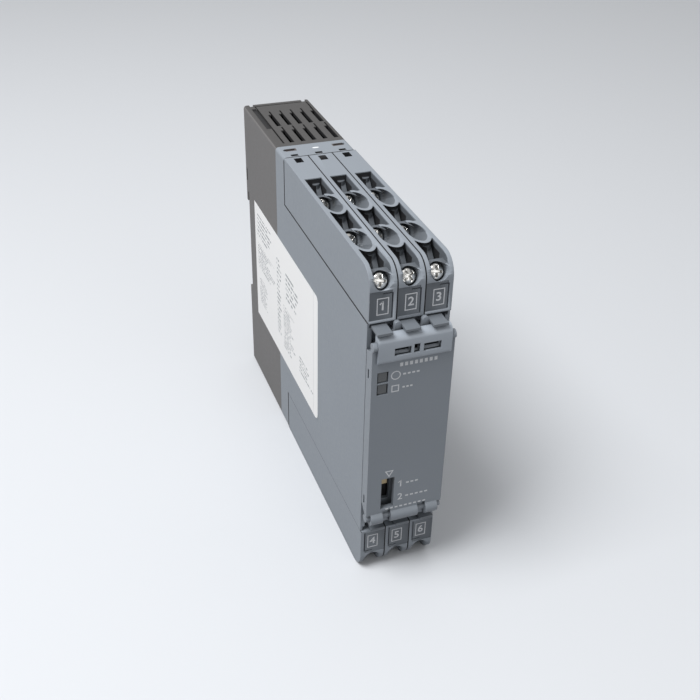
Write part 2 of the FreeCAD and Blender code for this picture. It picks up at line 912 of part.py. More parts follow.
def tag_cuts(name, reach):
    """The marking tag's shallow field and the bent slot beside and above it."""
    tag_top = "tag_bottom + tag_height"
    field = box(
        f"{name}_tag_field",
        (f"-({block_pitch} / 2 - block_gap)", "tag_side"),
        (f"-({reach})", f"-({reach}) + tag_depth"),
        ("tag_bottom", tag_top),
    )
    side_slot = box(
        f"{name}_tag_side_slot",
        ("tag_side", "tag_side + tag_groove"),
        (f"-({reach})", f"-({reach}) + tag_groove * 2"),
        ("tag_bottom", f"{tag_top} - tag_groove * 2"),
    )
    top_slot = box(
        f"{name}_tag_top_slot",
        ("0", "tag_side + tag_groove"),
        (f"-({reach})", f"-({reach}) + tag_groove * 2"),
        (f"{tag_top} - tag_groove * 3", f"{tag_top} - tag_groove * 2"),
    )
    return [field, side_slot, top_slot]


def probe_hole(name):
    """The square coding hole behind the first wire entry."""
    return box(
        f"{name}_probe_hole",
        ("-probe_width / 2 + 0.1", "probe_width / 2 + 0.1"),
        ("-1.1 - probe_length", "-1.1"),
        ("block_height - 2", "block_height"),
    )


def screw_body(name):
    """A clamping screw with its head's face at z = 0 and its shank downwards."""
    head = rod(f"{name}_head", "head_radius", "head_thickness", z="-head_thickness")
    shank = rod(f"{name}_shank", "shank_radius", "shank_length + 0.1", z="-head_thickness - shank_length")
    blades = []
    for number, (wide, tall) in enumerate((("recess_length", "recess_width"), ("recess_width", "recess_length"))):
        blades.append(box(
            f"{name}_blade_{number}",
            (f"-{wide} / 2", f"{wide} / 2"),
            (f"-{tall} / 2", f"{tall} / 2"),
            ("-recess_depth", "0.1"),
        ))
    return cut(f"{name}_crossed", fuse(f"{name}_turned", head, shank), *blades)


def cage_body(name):
    """A clamping cage: a square ring round the contact, with the nut in its front wall."""
    front = "-cage_start"
    rear = "-cage_start - cage_length"
    ring = box(
        f"{name}_ring",
        ("-cage_width / 2", "cage_width / 2"),
        ("-cage_height / 2", "cage_height / 2"),
        (rear, front),
    )
    window = box(
        f"{name}_window",
        ("-cage_width / 2 + cage_wall", "cage_width / 2 - cage_wall"),
        ("-cage_height", "cage_height"),
        (f"{rear} + cage_wall * 1.4", f"{front} - cage_nut_wall"),
    )
    nut = rod(f"{name}_nut", "shank_radius + thread_play", "cage_nut_wall * 3", z=f"{front} - cage_nut_wall * 2")
    return cut(f"{name}_cut", ring, window, nut)


def contact_body(name):
    """A contact bar that passes through its cage and down towards the board."""
    front = "-cage_start - cage_nut_wall - contact_gap * 2"
    return box(
        name,
        ("-contact_width / 2", "contact_width / 2"),
        ("-contact_drop", "cage_height / 2 + contact_thickness"),
        (f"{front} - contact_thickness", front),
    )


def seat_block(thing, index, lower):
    """Put a block, built in its own frame, in the upper row or turned over in the lower row."""
    middle = f"{index} * {block_pitch}"
    if lower:
        turn(thing, ("0", "1", "0"), "180")
        return place(thing, middle, depth("shoulder_depth"), "block_height")
    return place(thing, middle, depth("shoulder_depth"), block_bottom)


def seat_on_screw(thing, index, terminal, lower):
    """Put a thing, built on its own Z axis, on a screw axis of the upper or the lower row."""
    forward = f"shoulder_depth + {head_forward(terminal)}"
    if lower:
        turn(thing, ("0", "cos((90 - screw_tilt) / 2)", "-sin((90 - screw_tilt) / 2)"), "180")
        return place(thing, f"{index} * {block_pitch}", depth(forward), "head_drop")
    turn(thing, ("1", "0", "0"), "90 - screw_tilt")
    return place(thing, f"{index} * {block_pitch}", depth(forward), "case_height - head_drop")


def terminal_rows():
    contacts = []
    for row, lower, reach in ((UPPER_BLOCKS, False, "upper_tab_reach"), (LOWER_BLOCKS, True, "lower_tab_reach")):
        for number, index in row.items():
            name = f"terminal_block_{number}"
            part(name, seat_block(block_body(name, reach), index, lower))
            for terminal in TERMINALS:
                screw_name = f"clamp_screw_{number}_{terminal + 1}"
                part(screw_name, seat_on_screw(screw_body(screw_name), index, terminal, lower))
                cage_name = f"clamp_cage_{number}_{terminal + 1}"
                part(cage_name, seat_on_screw(cage_body(cage_name), index, terminal, lower))
                bar = fuse_one(f"contact_{number}_{terminal + 1}", contact_body(f"contact_bar_{number}_{terminal + 1}"))
                contacts.append(seat_on_screw(bar, index, terminal, lower))
    group = doc.addObject("Part::Compound", "contact_bars")
    group.Links = contacts
    part("contact_bars", group)


# Front cover: a plate with two side walls, a hinge bar below and a catch bar above

def hinge_bar(name, z):
    """The round lower bar, cut away at the two hooks down to an axle."""
    bar = rod(name, "hinge_bar_radius", "bar_half_length * 2", "-bar_half_length", depth(hinge_depth), z, "X")
    gaps = []
    for index in (-1, 1):
        middle = f"{index} * hook_spacing / 2"
        gaps.append(box(
            f"{name}_gap_{index + 1}",
            (f"{middle} - ({notch_half})", f"{middle} + {notch_half}"),
            (depth("case_depth + 1"), depth(f"{hinge_depth} - hinge_bar_radius - 1")),
            (f"{z} - hinge_bar_radius - 1", f"{z} + hinge_bar_radius + hook_play"),
        ))
    axle = rod(f"{name}_axle", "axle_radius", "bar_half_length * 2", "-bar_half_length", depth(hinge_depth), z, "X")
    pins = rod(
        f"{name}_pins", "pin_radius", "case_width - 0.1", "-case_width / 2 + 0.05", depth(hinge_depth), z, "X",
    )
    pin_zone = box(
        f"{name}_pin_zone", ("-bar_half_length + 0.1", "bar_half_length - 0.1"),
        (depth("case_depth"), depth("face_depth")), (f"{z} - 3", f"{z} + 3"),
    )
    return [bar, gaps, axle, cut(f"{name}_stubs", pins, pin_zone)]


def front_cover():
    plate = box(
        "cover_plate",
        ("-case_width / 2", "case_width / 2"),
        (depth("cover_front"), depth(cover_rear)),
        ("cover_bottom", "cover_top"),
    )
    walls = []
    for side, low, high in (
        ("left", "-case_width / 2", "-case_width / 2 + cover_side_wall"),
        ("right", "case_width / 2 - cover_side_wall", "case_width / 2"),
    ):
        walls.append(profile(
            f"cover_wall_{side}", "YZ_Plane",
            (
                (depth("cover_front"), "cover_bottom"),
                (depth(cover_rear), "cover_bottom"),
                (depth("face_depth + cover_play"), "cover_bottom + 2.6"),
                (depth("face_depth + cover_play"), "cover_top - 1.5"),
                (depth("cover_front"), "cover_top"),
            ),
            low, f"({high}) - ({low})",
        ))
    bar, gaps, axle, stubs = hinge_bar("hinge_bar", "hinge_height")
    catch = profile(
        "catch_bar", "YZ_Plane",
        (
            (depth("case_depth"), "top_bar_bottom + 1.6"),
            (depth(f"{cover_rear}"), "top_bar_bottom"),
            (depth(f"{cover_rear}"), "top_bar_top"),
            (depth("cover_front - 0.4"), "top_bar_top"),
            (depth("case_depth"), "top_bar_top - 2.2"),
        ),
        "-bar_half_length", "bar_half_length * 2",
    )
    catch_pins = rod(
        "catch_pins", "pin_radius", "case_width - 0.1",
        "-case_width / 2 + 0.05", depth("cover_front - 0.4"), "top_bar_bottom + 2.7", "X",
    )
    windows = []
    for number, (low, high, drop) in enumerate((("-5.9", "-1.4", "0"), ("-0.6", "1", "0.3"), ("2", "6.7", "0"))):
        windows.append(box(
            f"catch_window_{number}",
            (low, high),
            (depth("case_depth"), depth("cover_front - 0.6")),
            (f"top_bar_bottom + 0.5 - {drop}", f"top_bar_bottom + top_bar_window + {drop}"),
        ))
    openings = [*gaps, *windows, *cover_windows(), *side_wall_slots()]
    solid = fuse("cover_solid", plate, *walls, bar, catch, catch_pins)
    pierced = cut("cover_pierced", solid, *openings)
    part("front_cover", fuse("front_cover", pierced, axle, stubs))


def cover_windows():
    """Two lamp windows and the selector's window."""
    windows = []
    for index in (0, 1):
        top = f"lamp_top - {index} * lamp_pitch"
        windows.append(box(
            f"lamp_window_{index}",
            ("-lamp_side - lamp_window_width / 2", "-lamp_side + lamp_window_width / 2"),
            (depth("cover_front"), depth(cover_rear)),
            (f"{top} - lamp_window_height", top),
        ))
    windows.append(box(
        "selector_window",
        ("-selector_side - selector_width / 2", "-selector_side + selector_width / 2"),
        (depth("cover_front"), depth(cover_rear)),
        ("selector_bottom", "selector_top"),
    ))
    return windows


def side_wall_slots():
    """A small slot near each end of the side walls."""
    slots = []
    for number, middle in enumerate(("cover_bottom + 4.8", "cover_top - 7.9")):
        slots.append(box(
            f"side_wall_slot_{number}",
            ("-case_width / 2", "case_width / 2"),
            (depth("face_depth + 2.3"), depth("face_depth + 1.5")),
            (f"{middle} - 1.5", f"{middle} + 1.5"),
        ))
    return slots


def window_lens():
    """One clear moulding behind the plate with a square lens in each lamp window."""
    flange = box(
        "lens_flange_plate",
        ("-case_width / 2 + cover_side_wall + lens_play / 2", "-lamp_side + lamp_window_width / 2 + 0.7"),
        (depth(cover_rear), depth(f"{cover_rear} - lens_flange")),
        ("lamp_top - lamp_pitch - lamp_window_height - 0.7", "lamp_top + 0.7"),
    )
    lenses = [flange]
    for index in (0, 1):
        top = f"lamp_top - {index} * lamp_pitch"
        lenses.append(box(
            f"lens_{index}",
            (
                "-lamp_side - lamp_window_width / 2 + lens_play",
                "-lamp_side + lamp_window_width / 2 - lens_play",
            ),
            (depth("cover_front - lens_play"), depth(f"{cover_rear} - lens_flange / 2")),
            (f"{top} - lamp_window_height + lens_play", f"{top} - lens_play"),
        ))
    part("window_lens", fuse("window_lens", *lenses))


# Board and the pieces that it carries

board_high_x = "-board_side + board_thickness / 2"
board_low_x = "-board_side - board_thickness / 2"
board_bottom = "block_height + wall + header_height - header_groove + groove_play"
board_top = f"case_height - ({board_bottom})"


def main_board():
    board = profile(
        "board_outline", "YZ_Plane",
        (
            (depth("board_front"), board_bottom),
            (depth("shoulder_depth - wall * 2"), board_bottom),
            (depth("shoulder_depth - wall * 2"), "board_edge + wall"),
            (depth("board_rear"), "board_edge + wall"),
            (depth("board_rear"), "case_height - board_edge - wall"),
            (depth("shoulder_depth - wall * 2"), "case_height - board_edge - wall"),
            (depth("shoulder_depth - wall * 2"), board_top),
            (depth("board_front"), board_top),
        ),
        board_low_x, "board_thickness",
    )
    part("main_board", board)


def safety_relays():
    """Two forcibly guided relays, one above the other, seated on the board."""
    middle = "case_height / 2"
    for name, low in (
        ("safety_relay_lower", f"{middle} - relay_gap / 2 - relay_height"),
        ("safety_relay_upper", f"{middle} + relay_gap / 2"),
    ):
        part(name, profile(
            name, "YZ_Plane",
            (
                (depth("relay_start + relay_length"), low),
                (depth("relay_start"), low),
                (depth("relay_start"), f"{low} + relay_height"),
                (depth("relay_start + relay_length"), f"{low} + relay_height"),
            ),
            f"{board_high_x}", "relay_width",
            lambda edge: not along_x(edge) and edge.CenterOfMass.x > 0, "edge_round * 0.8",
        ))


def transformer():
    """The supply transformer: a core with a winding round its middle limb."""
    low = "case_height / 2 - core_height / 2"
    core = box(
        "core_block",
        (board_high_x, f"{board_high_x} + core_width"),
        (depth("core_start + core_length"), depth("core_start")),
        (low, f"{low} + core_height"),
    )
    windows = []
    for number, offset in enumerate(("core_height * 0.14", "core_height * 0.64")):
        windows.append(box(
            f"core_window_{number}",
            (board_high_x, f"{board_high_x} + core_width"),
            (depth("core_start + core_length * 0.8"), depth("core_start + core_length * 0.2")),
            (f"{low} + {offset}", f"{low} + {offset} + core_height * 0.22"),
        ))
    winding = box(
        "core_winding",
        (f"{board_high_x} + 1", f"{board_high_x} + core_width - 0.6"),
        (depth("core_start + core_length * 0.78"), depth("core_start + core_length * 0.22")),
        (f"{low} + core_height * 0.2", f"{low} + core_height * 0.8"),
    )
    part("transformer", fuse("transformer", cut("core_limbs", core, *windows), winding))


def capacitor():
    """A round can that lies on the board above the transformer."""
    can = rod(
        "can_body", "can_radius", "can_length",
        f"{board_high_x} + can_radius", depth("core_start"), "case_height / 2 + core_height / 2 + can_radius + 3", "Y",
    )
    pad = box(
        "can_foot",
        (board_high_x, f"{board_high_x} + can_radius"),
        (depth("core_start + can_length"), depth("core_start + can_length - 2")),
        (
            "case_height / 2 + core_height / 2 + 3 + can_radius / 2",
            "case_height / 2 + core_height / 2 + 3 + can_radius * 1.5",
        ),
    )
    part("capacitor", fuse("capacitor", can, pad))


def pin_headers():
    """A strip inside each long wall of the shell, on the board's edge, with pins that reach into the blocks."""
    for side in ("upper", "lower"):
        strip = box(
            f"{side}_strip",
            ("-header_side", "header_side"),
            (
                depth(f"{contact_foot(2)} + header_width / 2"),
                depth(f"{contact_foot(0)} - header_width / 2"),
            ),
            mirrored(side, f"{block_bottom} - wall - header_height", f"{block_bottom} - wall"),
        )
        groove = box(
            f"{side}_strip_groove",
            (f"{board_low_x} - groove_play", f"{board_high_x} + groove_play"),
            (depth("face_depth"), depth("shoulder_depth")),
            mirrored(
                side,
                f"{block_bottom} - wall - header_height",
                f"{block_bottom} - wall - header_height + header_groove",
            ),
        )
        pins = []
        for index in (-1, 0, 1):
            for terminal in TERMINALS:
                spot = contact_foot(terminal)
                pins.append(box(
                    f"{side}_pin_{index + 1}_{terminal}",
                    (f"{index} * {block_pitch} - pin_width / 2", f"{index} * {block_pitch} + pin_width / 2"),
                    (depth(f"{spot} + pin_width / 2"), depth(f"{spot} - pin_width / 2")),
                    mirrored(side, f"{block_bottom} - wall * 1.5", f"{block_bottom} + pin_reach"),
                ))
        part(f"{side}_header", fuse(f"{side}_header", cut(f"{side}_grooved_strip", strip, groove), *pins))


def light_guide():
    """A clear moulding that leads the light from the board's edge to the lenses."""
    rods = []
    for index in (0, 1):
        top = f"lamp_top - {index} * lamp_pitch"
        rods.append(box(
            f"guide_rod_{index}",
            ("-lamp_side - lamp_window_width / 2 + lens_play", "-lamp_side + lamp_window_width / 2 - lens_play"),
            (depth(f"{cover_rear} - lens_flange - lens_play"), depth("board_front")),
            (f"{top} - lamp_window_height + lens_play", f"{top} - lens_play"),
        ))
    web = box(
        "guide_web",
        ("-lamp_side - lamp_window_width / 2 + lens_play", "-lamp_side + lamp_window_width / 2 - lens_play"),
        (depth("board_front + 1"), depth("board_front")),
        ("lamp_top - lamp_pitch - lamp_window_height + lens_play", "lamp_top - lens_play"),
    )
    part("light_guide", fuse("light_guide", web, *rods))


knob_middle = "(selector_top - knob_play - knob_height)"


def selector_switch():
    """The slide switch on the board and the knob that shows in the cover's window."""
    body = box(
        "switch_case",
        (board_high_x, "-selector_side + selector_width / 2"),
        (depth("face_depth - wall - knob_play"), depth("face_depth - wall - knob_play - switch_depth")),
        ("selector_bottom - 1", "selector_top + 1"),
    )
    track = box(
        "switch_track",
        ("-selector_side - knob_width / 2 - knob_play", "-selector_side + knob_width / 2 + knob_play"),
        (depth("face_depth"), depth("face_depth - wall - knob_play - switch_depth * 0.6")),
        (
            f"{knob_middle} - knob_height / 2 - knob_travel - knob_play",
            f"{knob_middle} + knob_height / 2 + knob_play",
        ),
    )
    part("switch_body", cut("switch_body", body, track))
    stem = box(
        "knob_stem",
        ("-selector_side - knob_width / 2", "-selector_side + knob_width / 2"),
        (depth("face_depth + 1.4"), depth("face_depth - wall - knob_play - switch_depth * 0.6 + knob_play / 3")),
        (f"{knob_middle} - knob_height / 2", f"{knob_middle} + knob_height / 2"),
    )
    part("start_selector", stem)


# Side label: a thin sticker in a shallow recess across both housings

def side_label():
    corners = profile(
        "side_label", "YZ_Plane",
        (
            (depth("label_front - groove_play"), "label_bottom + groove_play"),
            (depth("label_rear + groove_play"), "label_bottom + groove_play"),
            (depth("label_rear + groove_play"), "label_top - groove_play"),
            (depth("label_front - groove_play"), "label_top - groove_play"),
        ),
        "-case_width / 2 + label_thickness * 0.1", "label_thickness * 0.9",
        along_x, "label_corner",
    )
    part("side_label", corners)


rear_housing()
front_housing()
front_cover()
window_lens()
terminal_rows()
rail_latch()
latch_spring()
side_label()
main_board()
safety_relays()
transformer()
capacitor()
pin_headers()
light_guide()
selector_switch()
doc.recompute()

for item in doc.Objects:
    if "Invalid" in item.State or "Error" in item.State:
        raise RuntimeError(f"{item.Name} could not be built: {item.State}")
for item in nodes:
    if item.Shape.isNull() or not item.Shape.isValid() or not item.Shape.Solids:
        raise RuntimeError(f"{item.Label} has no valid solid")

os.makedirs("parts", exist_ok=True)
for item in nodes:
    item.Shape.exportStep(f"parts/{item.Label}.step")
print(len(nodes), "sub-parts written")
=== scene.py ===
# %% [markdown]
# A slim safety relay from a control cabinet, made ready for its portrait. Its rigid mouldings come from
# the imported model. This file gives them their plastics and metals, carves finer forms into copies of a few
# of them, adds the printed numbers and marks, and then sets the light and the camera.

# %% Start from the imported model
import json
import math

import bmesh
import bpy
from mathutils import Matrix, Vector


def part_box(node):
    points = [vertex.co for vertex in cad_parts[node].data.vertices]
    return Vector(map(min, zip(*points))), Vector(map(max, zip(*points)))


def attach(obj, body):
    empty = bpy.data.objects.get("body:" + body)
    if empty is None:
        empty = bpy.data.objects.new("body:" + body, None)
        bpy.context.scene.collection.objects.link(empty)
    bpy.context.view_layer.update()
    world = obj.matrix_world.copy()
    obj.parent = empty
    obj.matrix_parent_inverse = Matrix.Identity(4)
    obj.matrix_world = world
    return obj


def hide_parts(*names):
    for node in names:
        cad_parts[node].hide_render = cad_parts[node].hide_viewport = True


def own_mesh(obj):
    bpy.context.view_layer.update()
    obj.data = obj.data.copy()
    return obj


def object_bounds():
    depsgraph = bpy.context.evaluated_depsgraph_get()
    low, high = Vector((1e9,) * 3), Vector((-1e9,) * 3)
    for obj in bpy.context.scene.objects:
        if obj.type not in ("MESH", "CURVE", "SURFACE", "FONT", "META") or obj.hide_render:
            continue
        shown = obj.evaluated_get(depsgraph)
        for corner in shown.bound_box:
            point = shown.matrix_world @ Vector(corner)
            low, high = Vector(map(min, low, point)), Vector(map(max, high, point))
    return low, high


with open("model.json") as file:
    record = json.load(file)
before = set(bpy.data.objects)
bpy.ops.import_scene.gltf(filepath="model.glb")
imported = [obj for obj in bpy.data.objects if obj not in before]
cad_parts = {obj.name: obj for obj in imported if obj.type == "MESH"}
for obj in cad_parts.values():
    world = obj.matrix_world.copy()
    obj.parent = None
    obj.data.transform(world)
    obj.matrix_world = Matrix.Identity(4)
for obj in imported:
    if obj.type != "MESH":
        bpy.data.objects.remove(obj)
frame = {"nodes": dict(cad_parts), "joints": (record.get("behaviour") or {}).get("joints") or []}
solid_low, solid_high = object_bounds()
print("The model is", [round(size * 1000, 1) for size in solid_high - solid_low], "mm")

# %% [markdown]
# The scene works in metres, while the small features of a relay are easier to think of in millimetres. One
# constant turns the one into the other. The width of a terminal block, the middle height and the rear
# plane are read from the model, because most places on the device are given from them.

# %% Driving dimensions
MM = 0.001
pitch = (solid_high.x - solid_low.x) / 3
mid_height = (solid_low.z + solid_high.z) / 2
rear_y = solid_high.y
print("Terminal pitch", round(pitch / MM, 2), "mm, middle at", round(mid_height / MM, 2), "mm")


# %% [markdown]
# Every finish is a graph of nodes that ends in a Principled shader. Written out node by node, such a graph
# is long and hard to read, so a few helpers each add one node and hand back its output. Then a graph reads
# like a formula.

# %% Helpers for node graphs
def feed(tree, socket, value):
    """Join a socket to another one, or give it a plain value."""
    if isinstance(value, bpy.types.NodeSocket):
        tree.links.new(value, socket)
    else:
        socket.default_value = value


def add_node(tree, kind, values=None, **settings):
    """Add a node, set its properties, and fill or join its inputs by name."""
    node = tree.nodes.new(kind)
    for name, value in settings.items():
        setattr(node, name, value)
    for name, value in (values or {}).items():
        feed(tree, node.inputs[name], value)
    return node


def maths(tree, operation, first, second=0.0, clamp=False):
    """One Math node, returned as its output."""
    node = add_node(tree, "ShaderNodeMath", operation=operation, use_clamp=clamp)
    feed(tree, node.inputs[0], first)
    feed(tree, node.inputs[1], second)
    return node.outputs[0]


def scaled(tree, value, factor, plus=0.0):
    """A value times a factor, plus a second value."""
    return maths(tree, "ADD", maths(tree, "MULTIPLY", value, factor), plus)


def mixed_colour(tree, factor, first, second):
    """A colour between two, by a factor. The node's colour inputs are its seventh and eighth."""
    node = add_node(tree, "ShaderNodeMix", data_type="RGBA")
    for index, value in ((0, factor), (6, first), (7, second)):
        feed(tree, node.inputs[index], value)
    return node.outputs[2]


def noise(tree, place, scale, detail, roughness=0.5):
    """A cloudy value from nought to one, with about as many clouds to a metre as the scale says."""
    values = {"Vector": place, "Scale": scale, "Detail": detail, "Roughness": roughness}
    return add_node(tree, "ShaderNodeTexNoise", values).outputs["Fac"]


# %% [markdown]
# A material starts empty but for its shader. The Object coordinates keep a pattern still when the piece
# moves. An effect that several materials share becomes a node group, which is built once and used with
# each one's values.

# %% Helpers for materials and groups
def start_material(name):
    """An empty material with a Principled shader, and the object's own coordinates."""
    material = bpy.data.materials.new(name)
    material.use_nodes = True
    tree = material.node_tree
    shader = tree.nodes["Principled BSDF"]
    place = tree.nodes.new("ShaderNodeTexCoord").outputs["Object"]
    return material, tree, shader, place


def add_bump(tree, shader, height, strength, distance, normal=None):
    """Tilt the shader's normal by a height, on top of another normal where one is given."""
    values = {"Strength": strength, "Distance": distance, "Height": height}
    if normal is not None:
        values["Normal"] = normal
    relief = add_node(tree, "ShaderNodeBump", values)
    feed(tree, shader.inputs["Normal"], relief.outputs["Normal"])


def new_group(name, inputs, outputs):
    """A shader node group with named sockets. Each socket is given as its name and its kind."""
    tree = bpy.data.node_groups.new(name, "ShaderNodeTree")
    for side, sockets in (("INPUT", inputs), ("OUTPUT", outputs)):
        for label, kind in sockets:
            tree.interface.new_socket(label, in_out=side, socket_type=kind)
    source = tree.nodes.new("NodeGroupInput")
    result = tree.nodes.new("NodeGroupOutput")
    return tree, source.outputs, result.inputs


def use_group(tree, group, values):
    """Place a group in a material with its own values."""
    return add_node(tree, "ShaderNodeGroup", values, node_tree=group).outputs


def shade(colour, amount):
    """A colour made lighter or darker by a factor."""
    return tuple(min(1.0, part * amount) for part in colour[:3]) + (1.0,)


# %% [markdown]
# Moulded plastic isn't smooth. The steel mould is spark eroded, which leaves a grain of fine pits a few
# tenths of a millimetre wide, and the melt cools unevenly, which leaves slow drifts of tone. One group
# makes both from noise: a height for the grain, a tone for the drift and a value for the gloss.

# %% The grain of an eroded mould
PITS_PER_METRE = 3200.0


def make_grain():
    tree, given, result = new_group(
        "mould_grain",
        (("Place", "NodeSocketVector"),),
        (("Height", "NodeSocketFloat"), ("Tone", "NodeSocketFloat"), ("Gloss", "NodeSocketFloat")),
    )
    pits = noise(tree, given["Place"], PITS_PER_METRE, 2.0, roughness=0.6)
    coarse = noise(tree, given["Place"], PITS_PER_METRE * 0.3, 1.0)
    drift = noise(tree, given["Place"], 45.0, 3.0)
    feed(tree, result["Height"], maths(tree, "ADD", pits, maths(tree, "MULTIPLY", coarse, 0.6)))
    feed(tree, result["Tone"], scaled(tree, drift, 0.65, maths(tree, "MULTIPLY", pits, 0.35)))
    feed(tree, result["Gloss"], coarse)
    return tree


mould_grain = make_grain()
print("Grain group of", len(mould_grain.nodes), "nodes")


# %% [markdown]
# No moulded edge is perfectly sharp. Light catches the small radius along each edge, so the colour is
# made paler there as a painted highlight. Cycles can round the shading of an edge without touching the mesh:
# the Bevel node gives a softened normal, and the angle between that and the true normal tells how near an
# edge is.

# %% Soft edges and their painted highlight
def make_edges():
    tree, given, result = new_group(
        "soft_edges",
        (("Radius", "NodeSocketFloat"),),
        (("Normal", "NodeSocketVector"), ("Edge", "NodeSocketFloat")),
    )
    soft = add_node(tree, "ShaderNodeBevel", {"Radius": given["Radius"]}, samples=6).outputs["Normal"]
    sharp = tree.nodes.new("ShaderNodeNewGeometry").outputs["True Normal"]
    along = add_node(tree, "ShaderNodeVectorMath", operation="DOT_PRODUCT")
    feed(tree, along.inputs[0], soft)
    feed(tree, along.inputs[1], sharp)
    away = maths(tree, "SUBTRACT", 1.0, along.outputs["Value"])
    feed(tree, result["Edge"], maths(tree, "MULTIPLY", away, 3.0, clamp=True))
    feed(tree, result["Normal"], soft)
    return tree


soft_edges = make_edges()
print("Edge group of", len(soft_edges.nodes), "nodes")


# %% [markdown]
# Narrow gaps and corners get little light. Ambient occlusion measures how closed in a point is, and its
# darkening is painted into the colour as shade. A short reach keeps it inside the gaps, where the real
# mouldings show it.

# %% Painted shade in gaps
def make_gaps():
    tree, given, result = new_group(
        "painted_gap_shade",
        (("Reach", "NodeSocketFloat"), ("Depth", "NodeSocketFloat")),
        (("Shade", "NodeSocketFloat"),),
    )
    closed = add_node(tree, "ShaderNodeAmbientOcclusion", {"Distance": given["Reach"]}, samples=6)
    hidden = maths(tree, "SUBTRACT", 1.0, closed.outputs["AO"])
    feed(tree, result["Shade"], maths(tree, "MULTIPLY", hidden, given["Depth"], clamp=True))
    return tree


painted_gap_shade = make_gaps()
print("Gap group of", len(painted_gap_shade.nodes), "nodes")


# %% [markdown]
# All the mouldings share one way of building: a base colour, a slightly paler and a slightly darker
# version of it for the drift, a painted highlight on the edges, painted shade in the gaps, and the grain as
# a bump. Only the colours and amounts differ.

# %% A moulded plastic
EDGE_RADIUS = 0.25 * MM
# A factor that makes the colour paler along the edges: a painted highlight where light catches their radius.
EDGE_HIGHLIGHT = 1.25


def moulded_plastic(name, colour, roughness, bump=0.25, zones=()):
    """A moulded plastic in one colour. zones may give more colours, each with a function for its mask."""
    material, tree, shader, place = start_material(name)
    grain = use_group(tree, mould_grain, {"Place": place})
    edges = use_group(tree, soft_edges, {"Radius": EDGE_RADIUS})
    gaps = use_group(tree, painted_gap_shade, {"Reach": 1.6 * MM, "Depth": 0.55})
    tone = mixed_colour(tree, grain["Tone"], shade(colour, 0.93), shade(colour, 1.07))
    # The paler colour along each edge is a painted highlight.
    highlit_and_zoned = mixed_colour(tree, edges["Edge"], tone, shade(colour, EDGE_HIGHLIGHT))
    for zone_colour, mask in zones:
        highlit_and_zoned = mixed_colour(tree, mask(tree, place), highlit_and_zoned, zone_colour)
    # Painted shade: the colour darkens in narrow gaps, by ambient occlusion.
    base = mixed_colour(tree, gaps["Shade"], highlit_and_zoned, shade(colour, 0.25))
    feed(tree, shader.inputs["Base Color"], base)
    feed(tree, shader.inputs["Roughness"], scaled(tree, grain["Gloss"], 0.14, roughness - 0.07))
    add_bump(tree, shader, grain["Height"], bump, 0.03 * MM, edges["Normal"])
    shader.inputs["Specular IOR Level"].default_value = 0.4
    return material


latch_plastic = moulded_plastic("latch_plastic", (0.11, 0.11, 0.112, 1.0), 0.45)
black_plastic = moulded_plastic("black_inner_plastic", (0.03, 0.03, 0.032, 1.0), 0.4)
relay_plastic = moulded_plastic("relay_case_plastic", (0.62, 0.6, 0.55, 1.0), 0.3, bump=0.1)
cream_plastic = moulded_plastic("selector_plastic", (0.62, 0.5, 0.3, 1.0), 0.4, bump=0.1)
print("Four plastics from one recipe")


# %% [markdown]
# Deep pockets look almost black in a real moulding, because light that enters one is lost between its
# walls. Such places are found from where a point lies on the device. Its coordinates give a few measures,
# and comparing one with two limits gives a slab. Slabs multiplied give a box, and the highest of several
# boxes joins them to a mask.

# %% Masks from a place on the device
TERMINAL_STEP = 21.9
FIRST_ENTRY = 61.95
FAR = 500.0


def measures(tree, place):
    """A point's places on the device, in metres, by name."""
    x, y, z = add_node(tree, "ShaderNodeSeparateXYZ", {"Vector": place}).outputs
    depth = maths(tree, "SUBTRACT", rear_y, y)
    column = maths(tree, "FRACT", maths(tree, "DIVIDE", maths(tree, "SUBTRACT", x, solid_low.x), pitch))
    offset = maths(tree, "MULTIPLY", maths(tree, "SUBTRACT", column, 0.5), pitch)
    from_first = maths(tree, "SUBTRACT", depth, (FIRST_ENTRY - 0.15) * MM)
    entry = maths(tree, "FRACT", maths(tree, "DIVIDE", from_first, TERMINAL_STEP * MM))
    return {
        "x": x,
        "z": z,
        "depth": depth,  # from the rear
        "aside": maths(tree, "ABSOLUTE", x),  # from the middle plane
        "height": maths(tree, "ABSOLUTE", maths(tree, "SUBTRACT", z, mid_height)),  # from mid height
        "offset": offset,  # from the middle of the nearest column of terminals, to the right
        "across": maths(tree, "ABSOLUTE", offset),  # the same, to either side
        "along": maths(tree, "MULTIPLY", entry, TERMINAL_STEP * MM),  # from the rear of a wire entry
    }


def above(tree, value, limit):
    """One where the value is over the limit, and nought elsewhere."""
    return maths(tree, "GREATER_THAN", value, limit)


def below(tree, value, limit):
    """One where the value is under the limit, and nought elsewhere."""
    return maths(tree, "LESS_THAN", value, limit)


def all_of(tree, *masks):
    """One where every mask is one."""
    result = masks[0]
    for mask in masks[1:]:
        result = maths(tree, "MULTIPLY", result, mask)
    return result


def between(tree, value, low, high):
    """One where the value lies between the limits, and nought elsewhere."""
    return all_of(tree, above(tree, value, low), below(tree, value, high))


def in_boxes(*boxes):
    """A mask that is one inside any of the boxes. A box gives measures their limits in millimetres."""
    def mask(tree, place):
        found = measures(tree, place)
        joined = 0.0
        for box in boxes:
            slabs = [between(tree, found[name], low * MM, high * MM) for name, (low, high) in box.items()]
            joined = maths(tree, "MAXIMUM", joined, all_of(tree, *slabs))
        return joined

    return mask
